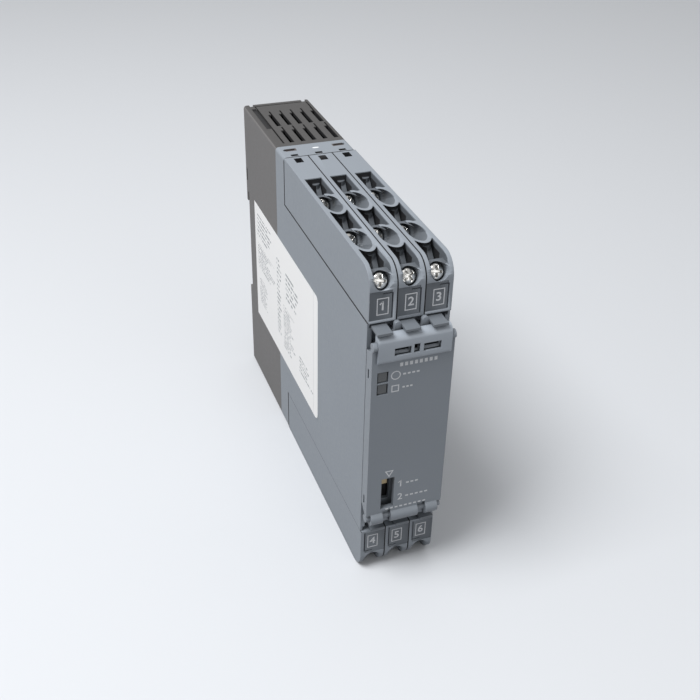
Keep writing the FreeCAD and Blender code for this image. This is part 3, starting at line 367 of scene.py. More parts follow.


# %% [markdown]
# The housing is a light blue grey in front. Its upper and lower ends carry small things that were moulded
# in or left open: two dark inserts, a row of coding slots, and the pale oval where the melt came in. A
# thin dark line follows the gap round each terminal block. The inserts and the oval are flat and painted
# in their own colours. The coding slots and the gap line are too narrow to see into, so their dark is
# painted shade.

# %% Grey housing plastic
GREY = (0.249, 0.277, 0.313, 1.0)
# A near black for painted shade, in slots, gaps and pockets that light hardly reaches.
DEEP_SHADE = (0.02, 0.02, 0.022, 1.0)
BROWN = (0.085, 0.07, 0.068, 1.0)
PALE = (0.8, 0.82, 0.84, 1.0)
GATE_MIDDLE = (0.3 * MM, 40.7 * MM)
GATE_HALVES = (1.05 * MM, 0.42 * MM)
insert_mask = in_boxes(dict(aside=(5.7, 9.2), depth=(39.45, 41.25), height=(49.0, FAR)))
# Painted shade in the coding slots.
coding_slot_shade_mask = in_boxes(dict(offset=(-1.05, 1.2), depth=(43.85, 45.2), height=(49.0, FAR)))
# Painted shade along the seam round each terminal block.
seam_shade_mask = in_boxes(
    dict(aside=(11.05, FAR), depth=(45.6, FAR), height=(34.82, 35.26)),
    dict(depth=(45.6, 46.02), height=(34.82, FAR)),
)


def gate_mask(tree, place):
    """One on the pale oval in the middle of the upper strip."""
    found = measures(tree, place)
    reach = 0.0
    for name, middle, half in zip(("x", "depth"), GATE_MIDDLE, GATE_HALVES):
        away = maths(tree, "DIVIDE", maths(tree, "SUBTRACT", found[name], middle), half)
        reach = maths(tree, "ADD", reach, maths(tree, "MULTIPLY", away, away))
    return all_of(tree, below(tree, reach, 1.0), above(tree, found["z"], solid_high.z - 0.05 * MM))


grey_plastic = moulded_plastic(
    "grey_housing_plastic", GREY, 0.5,
    zones=((BROWN, insert_mask), (DEEP_SHADE, coding_slot_shade_mask), (PALE, gate_mask), (DEEP_SHADE, seam_shade_mask)),
)
print("Grey plastic with inserts, slots and a gate mark")

# %% [markdown]
# The rear housing is almost black. Its slotted ends are seen nearly edge on, and its inside gets hardly
# any light, so both are painted darker as shade. The cover is a shade darker than the grey housing and its
# catch bar a shade lighter, as they look in the same light. On them, the line next to the housing and the
# pockets of the bar are painted shade.

# %% Dark housing and cover plastics
DARK = (0.15, 0.146, 0.146, 1.0)
# Painted shade on the slotted ends, which are seen nearly edge on.
end_shade_mask = in_boxes(dict(height=(49.75, FAR)))
# Painted shade inside the rear housing.
inner_shade_mask = in_boxes(dict(aside=(-FAR, 10.9), depth=(3.2, FAR), height=(-FAR, 49.75)))
# Painted shade along the line where the cover meets the housing.
rim_shade_mask = in_boxes(dict(aside=(11.05, FAR), depth=(-FAR, 116.85)))
# Painted shade in the pockets of the catch bar.
pocket_shade_mask = in_boxes(dict(aside=(-FAR, 9.0), depth=(-FAR, 121.1), height=(26.9, 30.2)))
dark_plastic = moulded_plastic(
    "dark_housing_plastic", DARK, 0.6, bump=0.35,
    zones=((shade(DARK, 0.5), end_shade_mask), (DEEP_SHADE, inner_shade_mask)),
)
cover_plastic = moulded_plastic("cover_plastic", shade(GREY, 0.9), 0.45, zones=((DEEP_SHADE, rim_shade_mask),))
bar_plastic = moulded_plastic(
    "catch_bar_plastic", shade(GREY, 1.35), 0.4, zones=((shade(GREY, 0.08), pocket_shade_mask),),
)
print("Dark housing, cover and catch bar plastics")

# %% [markdown]
# The terminal blocks are the same grey, but the field for the number and the release tabs are coloured a
# darker grey. The wire entries behind the screws are deep, so they are painted darker inside as shade, and
# their rear walls, which fall into the dark, are painted near black. The entries repeat at a fixed step
# along the block, so the remainder of a division finds the same band in each of them. Painted shade makes
# thin dark lines where two blocks meet, and round the coding holes.

# %% Terminal block plastic with darker fields
TAG_DEPTH = 116.95
ENTRY_DEPTH = (61.0, 115.0)
ENTRY_HALF = 2.58
RIB_ACROSS = (0.7, 2.1)
BESIDE_RIB = ((-ENTRY_HALF, RIB_ACROSS[0] - 0.04), (RIB_ACROSS[1] + 0.04, ENTRY_HALF))
tag_front = rear_y - TAG_DEPTH * MM
field_mask = in_boxes(
    dict(depth=(TAG_DEPTH - 0.05, TAG_DEPTH + 0.05), height=(-FAR, 43.9)),
    dict(height=(-FAR, 34.9)),
)
# Painted shade inside the wire entries.
entry_shade_mask = in_boxes(dict(across=(-FAR, ENTRY_HALF), depth=ENTRY_DEPTH, height=(35.3, 49.6)))
deep_wire_shade_mask = in_boxes(
    # painted shade on the rear wall, and on the two sides of the guide rib
    dict(along=(-FAR, 0.3942), across=(-FAR, ENTRY_HALF), depth=ENTRY_DEPTH, height=(35.3, 49.7)),
    *(dict(along=(-FAR, 4.818), offset=side, depth=ENTRY_DEPTH, height=(35.3, 48.1)) for side in BESIDE_RIB),
)
# Painted shade in the gaps between blocks, and round the coding holes.
gap_and_hole_shade_mask = in_boxes(
    dict(across=(3.57, FAR), aside=(-FAR, 10.9)),
    dict(across=(-FAR, 1.32), depth=(46.8, 50.3), height=(47.0, 49.96)),
)
block_plastic = moulded_plastic(
    "terminal_block_plastic", GREY, 0.5,
    zones=(
        (shade(GREY, 0.64), field_mask), (shade(GREY, 0.5), entry_shade_mask), (DEEP_SHADE, deep_wire_shade_mask),
        (DEEP_SHADE, gap_and_hole_shade_mask), (DEEP_SHADE, seam_shade_mask),
    ),
)
print("Block plastic with darker fields and entries")


# %% [markdown]
# The screws are plated steel, bright on top and scratched by the driver. Metals get their look from what
# they mirror, so the colour stays plain and the roughness varies. A fine noise roughens it and dents it
# slightly.

# %% Plated and drawn metals
def plated_metal(name, colour, roughness):
    material, tree, shader, place = start_material(name)
    edges = use_group(tree, soft_edges, {"Radius": 0.12 * MM})
    gaps = use_group(tree, painted_gap_shade, {"Reach": 0.9 * MM, "Depth": 0.8})
    cloud = noise(tree, place, 900.0, 4.0)
    tone = mixed_colour(tree, cloud, shade(colour, 0.9), shade(colour, 1.06))
    # Painted shade: the colour darkens in narrow gaps, by ambient occlusion.
    feed(tree, shader.inputs["Base Color"], mixed_colour(tree, gaps["Shade"], tone, shade(colour, 0.2)))
    feed(tree, shader.inputs["Roughness"], scaled(tree, cloud, 0.2, roughness - 0.1))
    add_bump(tree, shader, cloud, 0.15, 0.02 * MM, edges["Normal"])
    shader.inputs["Metallic"].default_value = 1.0
    return material


screw_metal = plated_metal("screw_steel", (0.88, 0.87, 0.84, 1.0), 0.22)
cage_metal = plated_metal("cage_steel", (0.72, 0.72, 0.72, 1.0), 0.35)
contact_metal = plated_metal("tinned_contact", (0.78, 0.75, 0.68, 1.0), 0.3)
spring_metal = plated_metal("spring_wire", (0.6, 0.6, 0.6, 1.0), 0.3)
core_metal = plated_metal("transformer_core", (0.35, 0.3, 0.27, 1.0), 0.5)
can_metal = plated_metal("capacitor_can", (0.7, 0.72, 0.76, 1.0), 0.3)
print("Six metals from one recipe")


# %% [markdown]
# The lenses and the light guide are clear acrylic. Behind them it is dark, so they read as dark glass
# squares with a crisp edge. The laminate is green solder mask with copper tracks faintly raised below it,
# for which the Brick texture gives a plain pattern of fields and lines.

# %% Clear acrylic and board laminate
def clear_acrylic():
    material, tree, shader, place = start_material("clear_acrylic")
    cloud = noise(tree, place, 700.0, 2.0)
    tone = mixed_colour(tree, cloud, (0.045, 0.05, 0.055, 1.0), (0.07, 0.075, 0.08, 1.0))
    feed(tree, shader.inputs["Base Color"], tone)
    feed(tree, shader.inputs["Roughness"], scaled(tree, cloud, 0.12, 0.1))
    shader.inputs["IOR"].default_value = 1.49
    shader.inputs["Coat Weight"].default_value = 0.4
    return material


def board_laminate():
    material, tree, shader, place = start_material("board_laminate")
    tracks = add_node(tree, "ShaderNodeTexBrick", {"Vector": place, "Scale": 260.0, "Mortar Size": 0.04})
    tone = mixed_colour(tree, tracks.outputs["Fac"], (0.02, 0.13, 0.06, 1.0), (0.05, 0.2, 0.1, 1.0))
    feed(tree, shader.inputs["Base Color"], tone)
    add_bump(tree, shader, tracks.outputs["Fac"], 0.3, 0.04 * MM)
    shader.inputs["Roughness"].default_value = 0.35
    return material


acrylic = clear_acrylic()
laminate = board_laminate()
print("Acrylic and laminate")


# %% [markdown]
# The side label is a white film with fine print. Rows of short grey dashes stand for it, so that the label
# reads as a data plate from a step away and says nothing. A group turns a place on the label into such
# rows inside a stated rectangle. White Noise gives each letter and each row its own chance, so some
# letters are left out and the rows end raggedly.

# %% Rows of illegible print
def chance(tree, x, y, z):
    """A random value from nought to one, which three numbers settle."""
    spot = add_node(tree, "ShaderNodeCombineXYZ", {"X": x, "Y": y, "Z": z})
    return add_node(tree, "ShaderNodeTexWhiteNoise", {"Vector": spot.outputs["Vector"]}).outputs["Value"]


def make_rows():
    lengths = ("Along", "Up", "Left", "Right", "Bottom", "Top", "Pitch", "Letter")
    inputs = [(label, "NodeSocketFloat") for label in lengths]
    tree, given, result = new_group("print_rows", inputs, (("Ink", "NodeSocketFloat"),))
    along, up, left, right = given["Along"], given["Up"], given["Left"], given["Right"]
    inside = all_of(tree, between(tree, along, left, right), between(tree, up, given["Bottom"], given["Top"]))
    row = maths(tree, "DIVIDE", maths(tree, "SUBTRACT", up, given["Bottom"]), given["Pitch"])
    row_number = maths(tree, "FLOOR", row)
    band = below(tree, maths(tree, "FRACT", row), 0.45)
    letter = maths(tree, "FLOOR", maths(tree, "DIVIDE", along, given["Letter"]))
    written = above(tree, chance(tree, letter, row_number, left), 0.28)
    missing = maths(tree, "MULTIPLY", chance(tree, row_number, given["Bottom"], right), 0.5)
    short_by = maths(tree, "MULTIPLY", maths(tree, "SUBTRACT", right, left), missing)
    not_past = below(tree, along, maths(tree, "SUBTRACT", right, short_by))
    feed(tree, result["Ink"], all_of(tree, inside, band, written, not_past))
    return tree


print_rows = make_rows()
print("Print group of", len(print_rows.nodes), "nodes")


# %% [markdown]
# The film itself is slightly glossy and off white in patches. The rectangles below are set out in
# millimetres from the label's rear and lower edges: columns of rows, a fine table and a dense block. The
# faint line near the front is painted shade along the crease where the film was folded and laid flat again.

# %% Side label material
PRINT_BLOCKS = (
    # from the rear edge, to, from the lower edge, to, row pitch, letter width
    (3.0, 20.0, 33.0, 41.0, 1.5, 0.55),
    (3.0, 24.0, 21.0, 30.0, 1.1, 0.45),
    (4.0, 14.0, 7.0, 17.0, 0.7, 0.35),
    (26.0, 31.0, 8.0, 36.0, 1.6, 0.5),
    (33.0, 46.0, 6.0, 22.0, 1.2, 0.45),
    (36.0, 52.0, 26.0, 36.0, 1.7, 0.6),
    (50.0, 64.0, 7.0, 13.0, 1.3, 0.45),
)
FOLD_FROM_FRONT = (4.2 * MM, 3.9 * MM)
label_low, label_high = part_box("side_label")
label_length = label_high.y - label_low.y


def label_film():
    material, tree, shader, place = start_material("label_film")
    x, y, z = add_node(tree, "ShaderNodeSeparateXYZ", {"Vector": place}).outputs
    along = maths(tree, "SUBTRACT", label_high.y, y)
    up = maths(tree, "SUBTRACT", z, label_low.z)
    ink = 0.0
    for left, right, bottom, top, row_pitch, letter in PRINT_BLOCKS:
        rows = use_group(tree, print_rows, {
            "Along": along, "Up": up, "Left": left * MM, "Right": right * MM,
            "Bottom": bottom * MM, "Top": top * MM, "Pitch": row_pitch * MM, "Letter": letter * MM,
        })
        ink = maths(tree, "MAXIMUM", ink, rows["Ink"])
    # A painted shade line along the crease.
    crease_shade = between(tree, along, label_length - FOLD_FROM_FRONT[0], label_length - FOLD_FROM_FRONT[1])
    ink = maths(tree, "MAXIMUM", maths(tree, "MULTIPLY", ink, 0.95), maths(tree, "MULTIPLY", crease_shade, 0.35))
    cloud = noise(tree, place, 60.0, 3.0)
    paper = mixed_colour(tree, cloud, (0.93, 0.935, 0.94, 1.0), (0.97, 0.973, 0.976, 1.0))
    feed(tree, shader.inputs["Base Color"], mixed_colour(tree, ink, paper, (0.3, 0.32, 0.34, 1.0)))
    feed(tree, shader.inputs["Roughness"], scaled(tree, cloud, 0.15, 0.3))
    add_bump(tree, shader, noise(tree, place, 2500.0, 1.0), 0.1, 0.01 * MM)
    return material


label_material = label_film()
print("Label film with", len(PRINT_BLOCKS), "blocks of print")


# %% [markdown]
# Print on the mouldings is a thin coat of light grey ink. It lies in the pits of the grain, so its own
# tone and gloss are slightly broken up.

# %% Printing ink
def printing_ink(name, colour):
    material, tree, shader, place = start_material(name)
    cloud = noise(tree, place, 2600.0, 2.0)
    tone = mixed_colour(tree, cloud, shade(colour, 0.82), shade(colour, 1.1))
    feed(tree, shader.inputs["Base Color"], tone)
    feed(tree, shader.inputs["Roughness"], scaled(tree, cloud, 0.2, 0.4))
    return material


pale_ink = printing_ink("pale_ink", (0.62, 0.64, 0.67, 1.0))
print("Ink for the numbers and marks")

# %% [markdown]
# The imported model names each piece. A short table of name beginnings gives every one of them its finish,
# and a node that no line names would stop the script.

# %% Dress the model's pieces
FINISHES = (
    ("rear_housing", dark_plastic),
    ("front_housing", grey_plastic),
    ("terminal_block", block_plastic),
    ("clamp_screw", screw_metal),
    ("clamp_cage", cage_metal),
    ("contact_bars", contact_metal),
    ("front_cover", cover_plastic),
    ("window_lens", acrylic),
    ("light_guide", acrylic),
    ("side_label", label_material),
    ("rail_latch", latch_plastic),
    ("latch_spring", spring_metal),
    ("main_board", laminate),
    ("safety_relay", relay_plastic),
    ("transformer", core_metal),
    ("capacitor", can_metal),
    ("upper_header", black_plastic),
    ("lower_header", black_plastic),
    ("switch_body", black_plastic),
    ("start_selector", cream_plastic),
)


def dress(name, thing):
    """Give a piece of the model its finish."""
    finish = next(finish for start, finish in FINISHES if name.startswith(start))
    thing.data.materials.clear()
    thing.data.materials.append(finish)


for name, thing in frame["nodes"].items():
    dress(name, thing)
print(len(frame["nodes"]), "pieces dressed")


# %% [markdown]
# New pieces are shaped as a bmesh, which is a mesh that operators can work on without a window. A finished
# one becomes a mesh, and its object stays at the origin with the place in the mesh, as the model's own
# pieces do. It then rides on a body, so that it moves with a joint.

# %% Helpers for new pieces
def as_mesh(name, shape):
    """A bmesh turned into a mesh. The bmesh is used up."""
    mesh = bpy.data.meshes.new(name)
    shape.to_mesh(mesh)
    shape.free()
    return mesh


def add_object(name, data):
    """Put a mesh, a text, a lamp or a camera in the scene."""
    thing = bpy.data.objects.new(name, data)
    bpy.context.scene.collection.objects.link(thing)
    return thing


def finish_piece(mesh, name, material, body):
    """Put a finished mesh in the scene, give it its material and let it ride on a body."""
    thing = add_object(name, mesh)
    mesh.materials.clear()
    mesh.materials.append(material)
    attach(thing, body)
    return thing


def rotate(shape, verts, degrees, axis):
    """Turn vertices about an axis through the origin."""
    turn = Matrix.Rotation(math.radians(degrees), 3, axis)
    bmesh.ops.rotate(shape, cent=(0, 0, 0), matrix=turn, verts=verts)


def thicken(shape, thickness):
    """Give a flat shape a thickness, upwards."""
    grown = bmesh.ops.extrude_face_region(shape, geom=shape.faces[:])
    tops = [item for item in grown["geom"] if isinstance(item, bmesh.types.BMVert)]
    bmesh.ops.translate(shape, vec=(0, 0, thickness), verts=tops)
    bmesh.ops.recalc_face_normals(shape, faces=shape.faces)


def column_x(block):
    """The middle of a terminal block across. Blocks 1 to 3 are above, and 4 to 6 are below."""
    return ((block - 1) % 3 - 1) * pitch


# %% [markdown]
# Digits are built in font text, because that is how a printer would set them, and turned into a mesh
# before they are placed. The font's one is a bare stroke, so it gets a short slanted flag. A printed frame
# starts as one face: an inset leaves a rim along its edge, and the middle is deleted.

# %% Helpers for print
INK_THICKNESS = 0.02 * MM


def text_mesh(words, size, bolder):
    """Text as a thin mesh, centred on its own origin, in the XY plane. bolder widens each stroke."""
    curve = bpy.data.curves.new("digits", "FONT")
    curve.body = words
    curve.size = size
    curve.align_x = "CENTER"
    curve.align_y = "CENTER"
    curve.extrude = INK_THICKNESS / 2
    curve.offset = bolder
    curve.resolution_u = 4
    thing = add_object("digits", curve)
    bpy.context.view_layer.update()
    mesh = bpy.data.meshes.new_from_object(thing)
    bpy.data.objects.remove(thing)
    return mesh


def add_digit(shape, digit, size, bolder):
    """A digit on a flat shape. A one gets the short slanted stroke that the font leaves off."""
    shape.from_mesh(text_mesh(digit, size, bolder))
    if digit == "1":
        flag = bmesh.ops.create_cube(shape, size=1.0)["verts"]
        bmesh.ops.scale(shape, vec=(size * 0.28, size * 0.07 + bolder * 2, INK_THICKNESS), verts=flag)
        rotate(shape, flag, 40, "Z")
        bmesh.ops.translate(shape, vec=(size * -0.12, size * 0.26, 0.0), verts=flag)


def leave_rim(shape, line):
    """Keep only a line along the edge of a flat face, as thick as ink."""
    centre = shape.faces[:]
    bmesh.ops.inset_region(shape, faces=centre, thickness=line, use_even_offset=True, use_boundary=True)
    bmesh.ops.delete(shape, geom=centre, context="FACES")
    thicken(shape, INK_THICKNESS)


def facing_front(x, y, z):
    """A place on a plane that faces the front, upright."""
    return Matrix.Translation((x, y, z)) @ Matrix.Rotation(math.radians(90), 4, "X")


# %% [markdown]
# Each terminal block carries its number in a thin box, printed on the darker field. The box and the digit
# are one piece, because they are printed in one go.

# %% The boxed numbers on the blocks
BOX_WIDTH = 3.2 * MM
BOX_HEIGHT = 4.8 * MM
BOX_LINE = 0.26 * MM
BOX_CENTRE = 39.5 * MM
DIGIT_SIZE = 3.5 * MM
DIGIT_BOLDER = 0.06 * MM


def block_number(number):
    """A number in its box, on the front of its terminal block."""
    z = mid_height + (BOX_CENTRE if number <= 3 else -BOX_CENTRE)
    sheet = bmesh.new()
    bmesh.ops.create_grid(sheet, x_segments=1, y_segments=1, size=0.5)
    bmesh.ops.scale(sheet, vec=(BOX_WIDTH, BOX_HEIGHT, 1.0), verts=sheet.verts)
    leave_rim(sheet, BOX_LINE)
    add_digit(sheet, str(number), DIGIT_SIZE, DIGIT_BOLDER)
    bmesh.ops.transform(sheet, matrix=facing_front(column_x(number), tag_front, z), verts=sheet.verts)
    name = f"block_number_{number}"
    return finish_piece(as_mesh(name, sheet), name, pale_ink, "case")


for number in range(1, 7):
    block_number(number)
print("Six boxed numbers")


# %% [markdown]
# Three kinds of piece need shapes that the model leaves plain: the mouths over the screw heads, the catch
# bar of the cover, and the crosses of the screws. A Boolean modifier cuts one closed mesh with another,
# which suits hard mouldings, because the cut stays crisp and the rest of the piece keeps its faces. A
# node's mesh is loose triangles, so its copy is merged first.

# %% Helpers for carving
def carve(blank, cutters):
    """A mesh of the blank with the cutters taken away. Both are bmeshes, which are used up."""
    body = add_object("blank", as_mesh("blank", blank))
    cutter = add_object("cutters", as_mesh("cutters", cutters))
    cut = body.modifiers.new("carve", "BOOLEAN")
    cut.operation = "DIFFERENCE"
    cut.solver = "EXACT"
    cut.use_self = True
    cut.object = cutter
    bpy.context.view_layer.update()
    mesh = bpy.data.meshes.new_from_object(body.evaluated_get(bpy.context.evaluated_depsgraph_get()))
    bpy.data.objects.remove(cutter)
    bpy.data.objects.remove(body)
    return mesh


def merged_copy(node):
    """A node's own shape as a bmesh, its loose triangles merged."""
    shape = bmesh.new()
    shape.from_mesh(frame["nodes"][node].data)
    bmesh.ops.remove_doubles(shape, verts=shape.verts, dist=0.001 * MM)
    bmesh.ops.dissolve_limit(shape, angle_limit=math.radians(0.5), verts=shape.verts, edges=shape.edges)
    return shape


def add_block(shape, low, high, matrix=Matrix()):
    """A box between two corners in millimetres, placed by a matrix."""
    verts = bmesh.ops.create_cube(shape, size=1.0)["verts"]
    spread = [(top - bottom) * MM for bottom, top in zip(low, high)]
    middle = [(top + bottom) / 2 * MM for bottom, top in zip(low, high)]
    bmesh.ops.scale(shape, vec=spread, verts=verts)
    bmesh.ops.translate(shape, vec=middle, verts=verts)
    bmesh.ops.transform(shape, matrix=matrix, verts=verts)
    return verts


def smooth_by_angle(mesh, degrees):
    """Round faces shade smoothly, and corners steeper than the angle stay crisp."""
    mesh.shade_smooth()
    mesh.set_sharp_from_angle(angle=math.radians(degrees))


# %% [markdown]
# The wall over each screw head has a mouth, so that the head can be seen from above. The mouths are boxes
# in the frame of the screw, which its joint gives: the head may lie anywhere, and the same two boxes fit
# it. The third screw, nearest the front, is in plain view already, so it needs only the smaller one.

# %% Mouths over the screws
HEAD_MOUTH = ((-2.0, 0.0, 0.0), (0.9, 12.0, 3.2))
FUNNEL_MOUTH = ((-2.46, 0.3, 0.01), (-0.25, 12.3, 13.0))


def screw_frame(block, terminal):
    """The frame of a screw: Z out of its head, Y towards the open end of the block, X across."""
    joint = next(one for one in frame["joints"] if one["name"] == f"screw_{block}_{terminal}_turn")
    out = -Vector(joint["axis"])
    end = 1.0 if block <= 3 else -1.0
    up = Vector((0.0, end * out.z, -end * out.y))
    turn = Matrix(((1.0, up.x, out.x), (0.0, up.y, out.y), (0.0, up.z, out.z)))
    return Matrix.Translation(joint["pos_m"]) @ turn.to_4x4()


def block_with_mouths(block):
    """A copy of a terminal block's mesh with a mouth over each screw."""
    mouths = bmesh.new()
    for terminal in range(1, 4):
        add_block(mouths, *HEAD_MOUTH, screw_frame(block, terminal))
        if terminal < 3:
            add_block(mouths, *FUNNEL_MOUTH, screw_frame(block, terminal))
    bmesh.ops.recalc_face_normals(mouths, faces=mouths.faces)
    return carve(merged_copy(f"terminal_block_{block}"), mouths)


# %% [markdown]
# Each wire entry has a sloping rib that leads the wire down into the cage. A rib is a box whose upper
# front edge is pushed back. It stands in the block like a separate part, so no Boolean is needed. The
# lower blocks are the upper ones mirrored, and mirroring turns a shape inside out, so the faces of their
# ribs are turned round again.

# %% Terminal blocks with mouths and ribs
RIB_ALONG = (-2.8, 0.5)
RIB_HEIGHT = (95.05, 98.0)
RIB_SLOPE = 2.6


def add_rib(shape, block, entry):
    """The rib in one wire entry of a block, the entries counted from the rear."""
    centre = column_x(block) / MM
    rear = rear_y / MM - (FIRST_ENTRY + TERMINAL_STEP * entry)
    low, high = zip(
        [centre + side for side in RIB_ACROSS], [rear + end for end in RIB_ALONG], RIB_HEIGHT,
    )
    rib = add_block(shape, low, high)
    edge = [vert for vert in rib if vert.co.z > (high[2] - 0.1) * MM and vert.co.y < (low[1] + 0.1) * MM]
    bmesh.ops.translate(shape, vec=(0, RIB_SLOPE * MM, 0), verts=edge)
    if block > 3:
        flip = Matrix.Translation((0, 0, 2 * mid_height)) @ Matrix.Scale(-1, 4, (0, 0, 1))
        bmesh.ops.transform(shape, matrix=flip, verts=rib)
        bmesh.ops.reverse_faces(shape, faces=list({face for vert in rib for face in vert.link_faces}))


def carved_block(block):
    """A twin of a terminal block, with a mouth over each screw and a rib in each wire entry."""
    mesh = block_with_mouths(block)
    shape = bmesh.new()
    shape.from_mesh(mesh)
    for entry in range(3):
        add_rib(shape, block, entry)
    shape.to_mesh(mesh)
    shape.free()
    smooth_by_angle(mesh, 28)
    twin = finish_piece(mesh, f"block_body_{block}", block_plastic, "case")
    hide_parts(f"terminal_block_{block}")
    return twin


for block in range(1, 7):
    twin = carved_block(block)
    print(twin.name, "has", len(twin.data.polygons), "faces")


# %% [markdown]
# The catch bar runs across the top of the cover. It is a rounded bar with three pockets, deeper than the
# model's one, so the model's bar is cut off the twin of the cover down to the plate, and a bevelled bar
# takes its place. The bevel comes before the pockets, so that it doesn't run round their rims.

# %% The catch bar
PLATE_DEPTH = 120.6
BAR_HALF = 10.0
BAR_DEPTHS = (119.15, 121.6)
BAR_HEIGHTS = (75.2, 83.28)
BAR_ROUNDING = {True: 2.2, False: 1.1}
POCKETS = ((-5.65, -1.17, 79.55), (-0.4, 1.18, 79.9), (2.2, 7.0, 79.55))
POCKET_BOTTOM = 77.3


def round_bar(bar, y_front, upper):
    """Round one of the long front edges of the bar."""
    edges = [
        edge for edge in bar.edges
        if edge.calc_length() > 1.9 * BAR_HALF * MM
        and all(vert.co.y < (y_front + 0.01) * MM for vert in edge.verts)
        and all((vert.co.z > (BAR_HEIGHTS[1] - 0.28) * MM) == upper for vert in edge.verts)
    ]
    bmesh.ops.bevel(
        bar, geom=edges, offset=BAR_ROUNDING[upper] * MM, offset_type="OFFSET", affect="EDGES", segments=6,
        profile=0.5, material=-1,
    )


def bar_mesh():
    """The rounded catch bar with its three pockets."""
    y_rear, y_front = (rear_y / MM - depth for depth in BAR_DEPTHS)
    bar = bmesh.new()
    add_block(bar, (-BAR_HALF, y_front, BAR_HEIGHTS[0]), (BAR_HALF, y_rear, BAR_HEIGHTS[1]))
    for upper in (True, False):
        round_bar(bar, y_front, upper)
    pockets = bmesh.new()
    for left, right, top in POCKETS:
        add_block(pockets, (left, y_front - 1.0, POCKET_BOTTOM), (right, y_front + 1.6, top))
    mesh = carve(bar, pockets)
    smooth_by_angle(mesh, 28)
    return mesh


# %% [markdown]
# The knives that cut the old bar off are two boxes: one in front of the plate, and one that also takes the
# top edge down behind it. They end a little past the bar, so that no face of theirs lies in a face of the
# cover.

# %% Cover with its catch bar
def cover_mesh():
    """A copy of the cover's mesh, its plain catch bar cut away down to the plate."""
    y_plate, y_rear = rear_y / MM - PLATE_DEPTH, rear_y / MM - 119.0
    knife = BAR_HALF + 0.03
    knives = bmesh.new()
    add_block(knives, (-knife, y_plate - 2.0, 76.0), (knife, y_plate, 85.0))
    add_block(knives, (-knife, y_plate - 1.0, 78.9), (knife, y_rear + 1.0, 85.0))
    mesh = carve(merged_copy("front_cover"), knives)
    smooth_by_angle(mesh, 28)
    return mesh


cover = finish_piece(cover_mesh(), "cover_body", cover_plastic, "cover")
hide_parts("front_cover")
catch_bar = finish_piece(bar_mesh(), "catch_bar", bar_plastic, "cover")
print("Cover of", len(cover.data.polygons), "and catch bar of", len(catch_bar.data.polygons), "faces")


# %% [markdown]
# The rail latch pushes its coil spring together as it slides down. A ring of wire is spun round the axis
# and lifted a little with each step, which winds the coil.

# %% Latch spring
WIRE_RADIUS = 0.34 * MM
COIL_TURNS = 5
COIL_STEPS = 120
spring_low, spring_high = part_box("latch_spring")


def coil_mesh():
    """A closed coil with the size and place of the model's spring."""
    rise = spring_high.z - spring_low.z - 2.4 * WIRE_RADIUS
    coil = bmesh.new()
    bmesh.ops.create_circle(coil, cap_ends=False, segments=10, radius=WIRE_RADIUS)
    rotate(coil, coil.verts, 90, "X")
    bmesh.ops.translate(coil, vec=((spring_high.x - spring_low.x) / 2 - WIRE_RADIUS, 0, 0), verts=coil.verts)
    bmesh.ops.spin(
        coil, geom=coil.verts[:] + coil.edges[:], cent=(0, 0, 0), axis=(0, 0, 1),
        dvec=(0, 0, rise / COIL_STEPS), angle=math.tau * COIL_TURNS, steps=COIL_STEPS,
    )
    ends = [edge for edge in coil.edges if len(edge.link_faces) == 1]
    bmesh.ops.holes_fill(coil, edges=ends, sides=10)
    bmesh.ops.recalc_face_normals(coil, faces=coil.faces)
    middle = (spring_low + spring_high) / 2
    bmesh.ops.translate(coil, vec=(middle.x, middle.y, spring_low.z + 1.2 * WIRE_RADIUS), verts=coil.verts)
    mesh = as_mesh("spring_coil", coil)
    smooth_by_angle(mesh, 50)
    return mesh


spring = finish_piece(coil_mesh(), "spring_coil", spring_metal, "case")
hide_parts("latch_spring")
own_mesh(spring)
print("Spring of", len(spring.data.polygons), "faces, which shortens with the latch")


# %% [markdown]
# The label is die cut, so its front corners are round. A grid of one face is bevelled at its front
# corners, pushed out to the thickness of the film, and laid in the recess of the left side.

# %% Side label with round corners
LABEL_ROUNDING = 2.6 * MM
LABEL_THICKNESS = 0.1 * MM


def label_sheet():
    """A thin sheet in the YZ plane with two round corners in front."""
    sheet = bmesh.new()
    bmesh.ops.create_grid(sheet, x_segments=1, y_segments=1, size=0.5)
    bmesh.ops.scale(sheet, vec=(label_length, label_high.z - label_low.z, 1.0), verts=sheet.verts)
    bmesh.ops.bevel(
        sheet, geom=[vert for vert in sheet.verts if vert.co.x > 0], offset=LABEL_ROUNDING,
        offset_type="OFFSET", affect="VERTICES", segments=6, profile=0.5, material=-1,
    )
    thicken(sheet, LABEL_THICKNESS)
    middle = (label_low + label_high) / 2
    stand = Matrix(((0, 0, -1), (-1, 0, 0), (0, 1, 0))).to_4x4()
    place = Matrix.Translation((label_high.x - 0.01 * MM, middle.y, middle.z)) @ stand
    bmesh.ops.transform(sheet, matrix=place, verts=sheet.verts)
    return as_mesh("label_sheet", sheet)


label = finish_piece(label_sheet(), "label_sheet", label_material, "case")
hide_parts("side_label")
print("Side label", [round(size / MM, 1) for size in label.dimensions], "mm")


# %% [markdown]
# The cover is printed with plain marks: dashes for the long rows, a ring and a square beside the lamps, a
# triangle over the selector, and the numbers of its two positions. A ring is a circle of many corners, a
# square one of four and a triangle one of three, so one helper makes them all.

# %% Helpers for the marks on the cover
DASH_SHARE = 0.62
plate_front = rear_y - PLATE_DEPTH * MM


def flat_piece(name, shape):
    """A flat shape in the XY plane, across and up, printed on the front of the cover."""
    bmesh.ops.transform(shape, matrix=facing_front(0, plate_front, 0), verts=shape.verts)
    return finish_piece(as_mesh(name, shape), name, pale_ink, "cover")


def dashes(name, left, right, low, high, count):
    """A row of short dashes between two limits."""
    row = bmesh.new()
    step = (right - left) / count
    half = INK_THICKNESS / MM / 2
    for index in range(count):
        start = left + index * step
        add_block(row, (start, low, -half), (start + step * DASH_SHARE, high, half))
    return flat_piece(name, row)


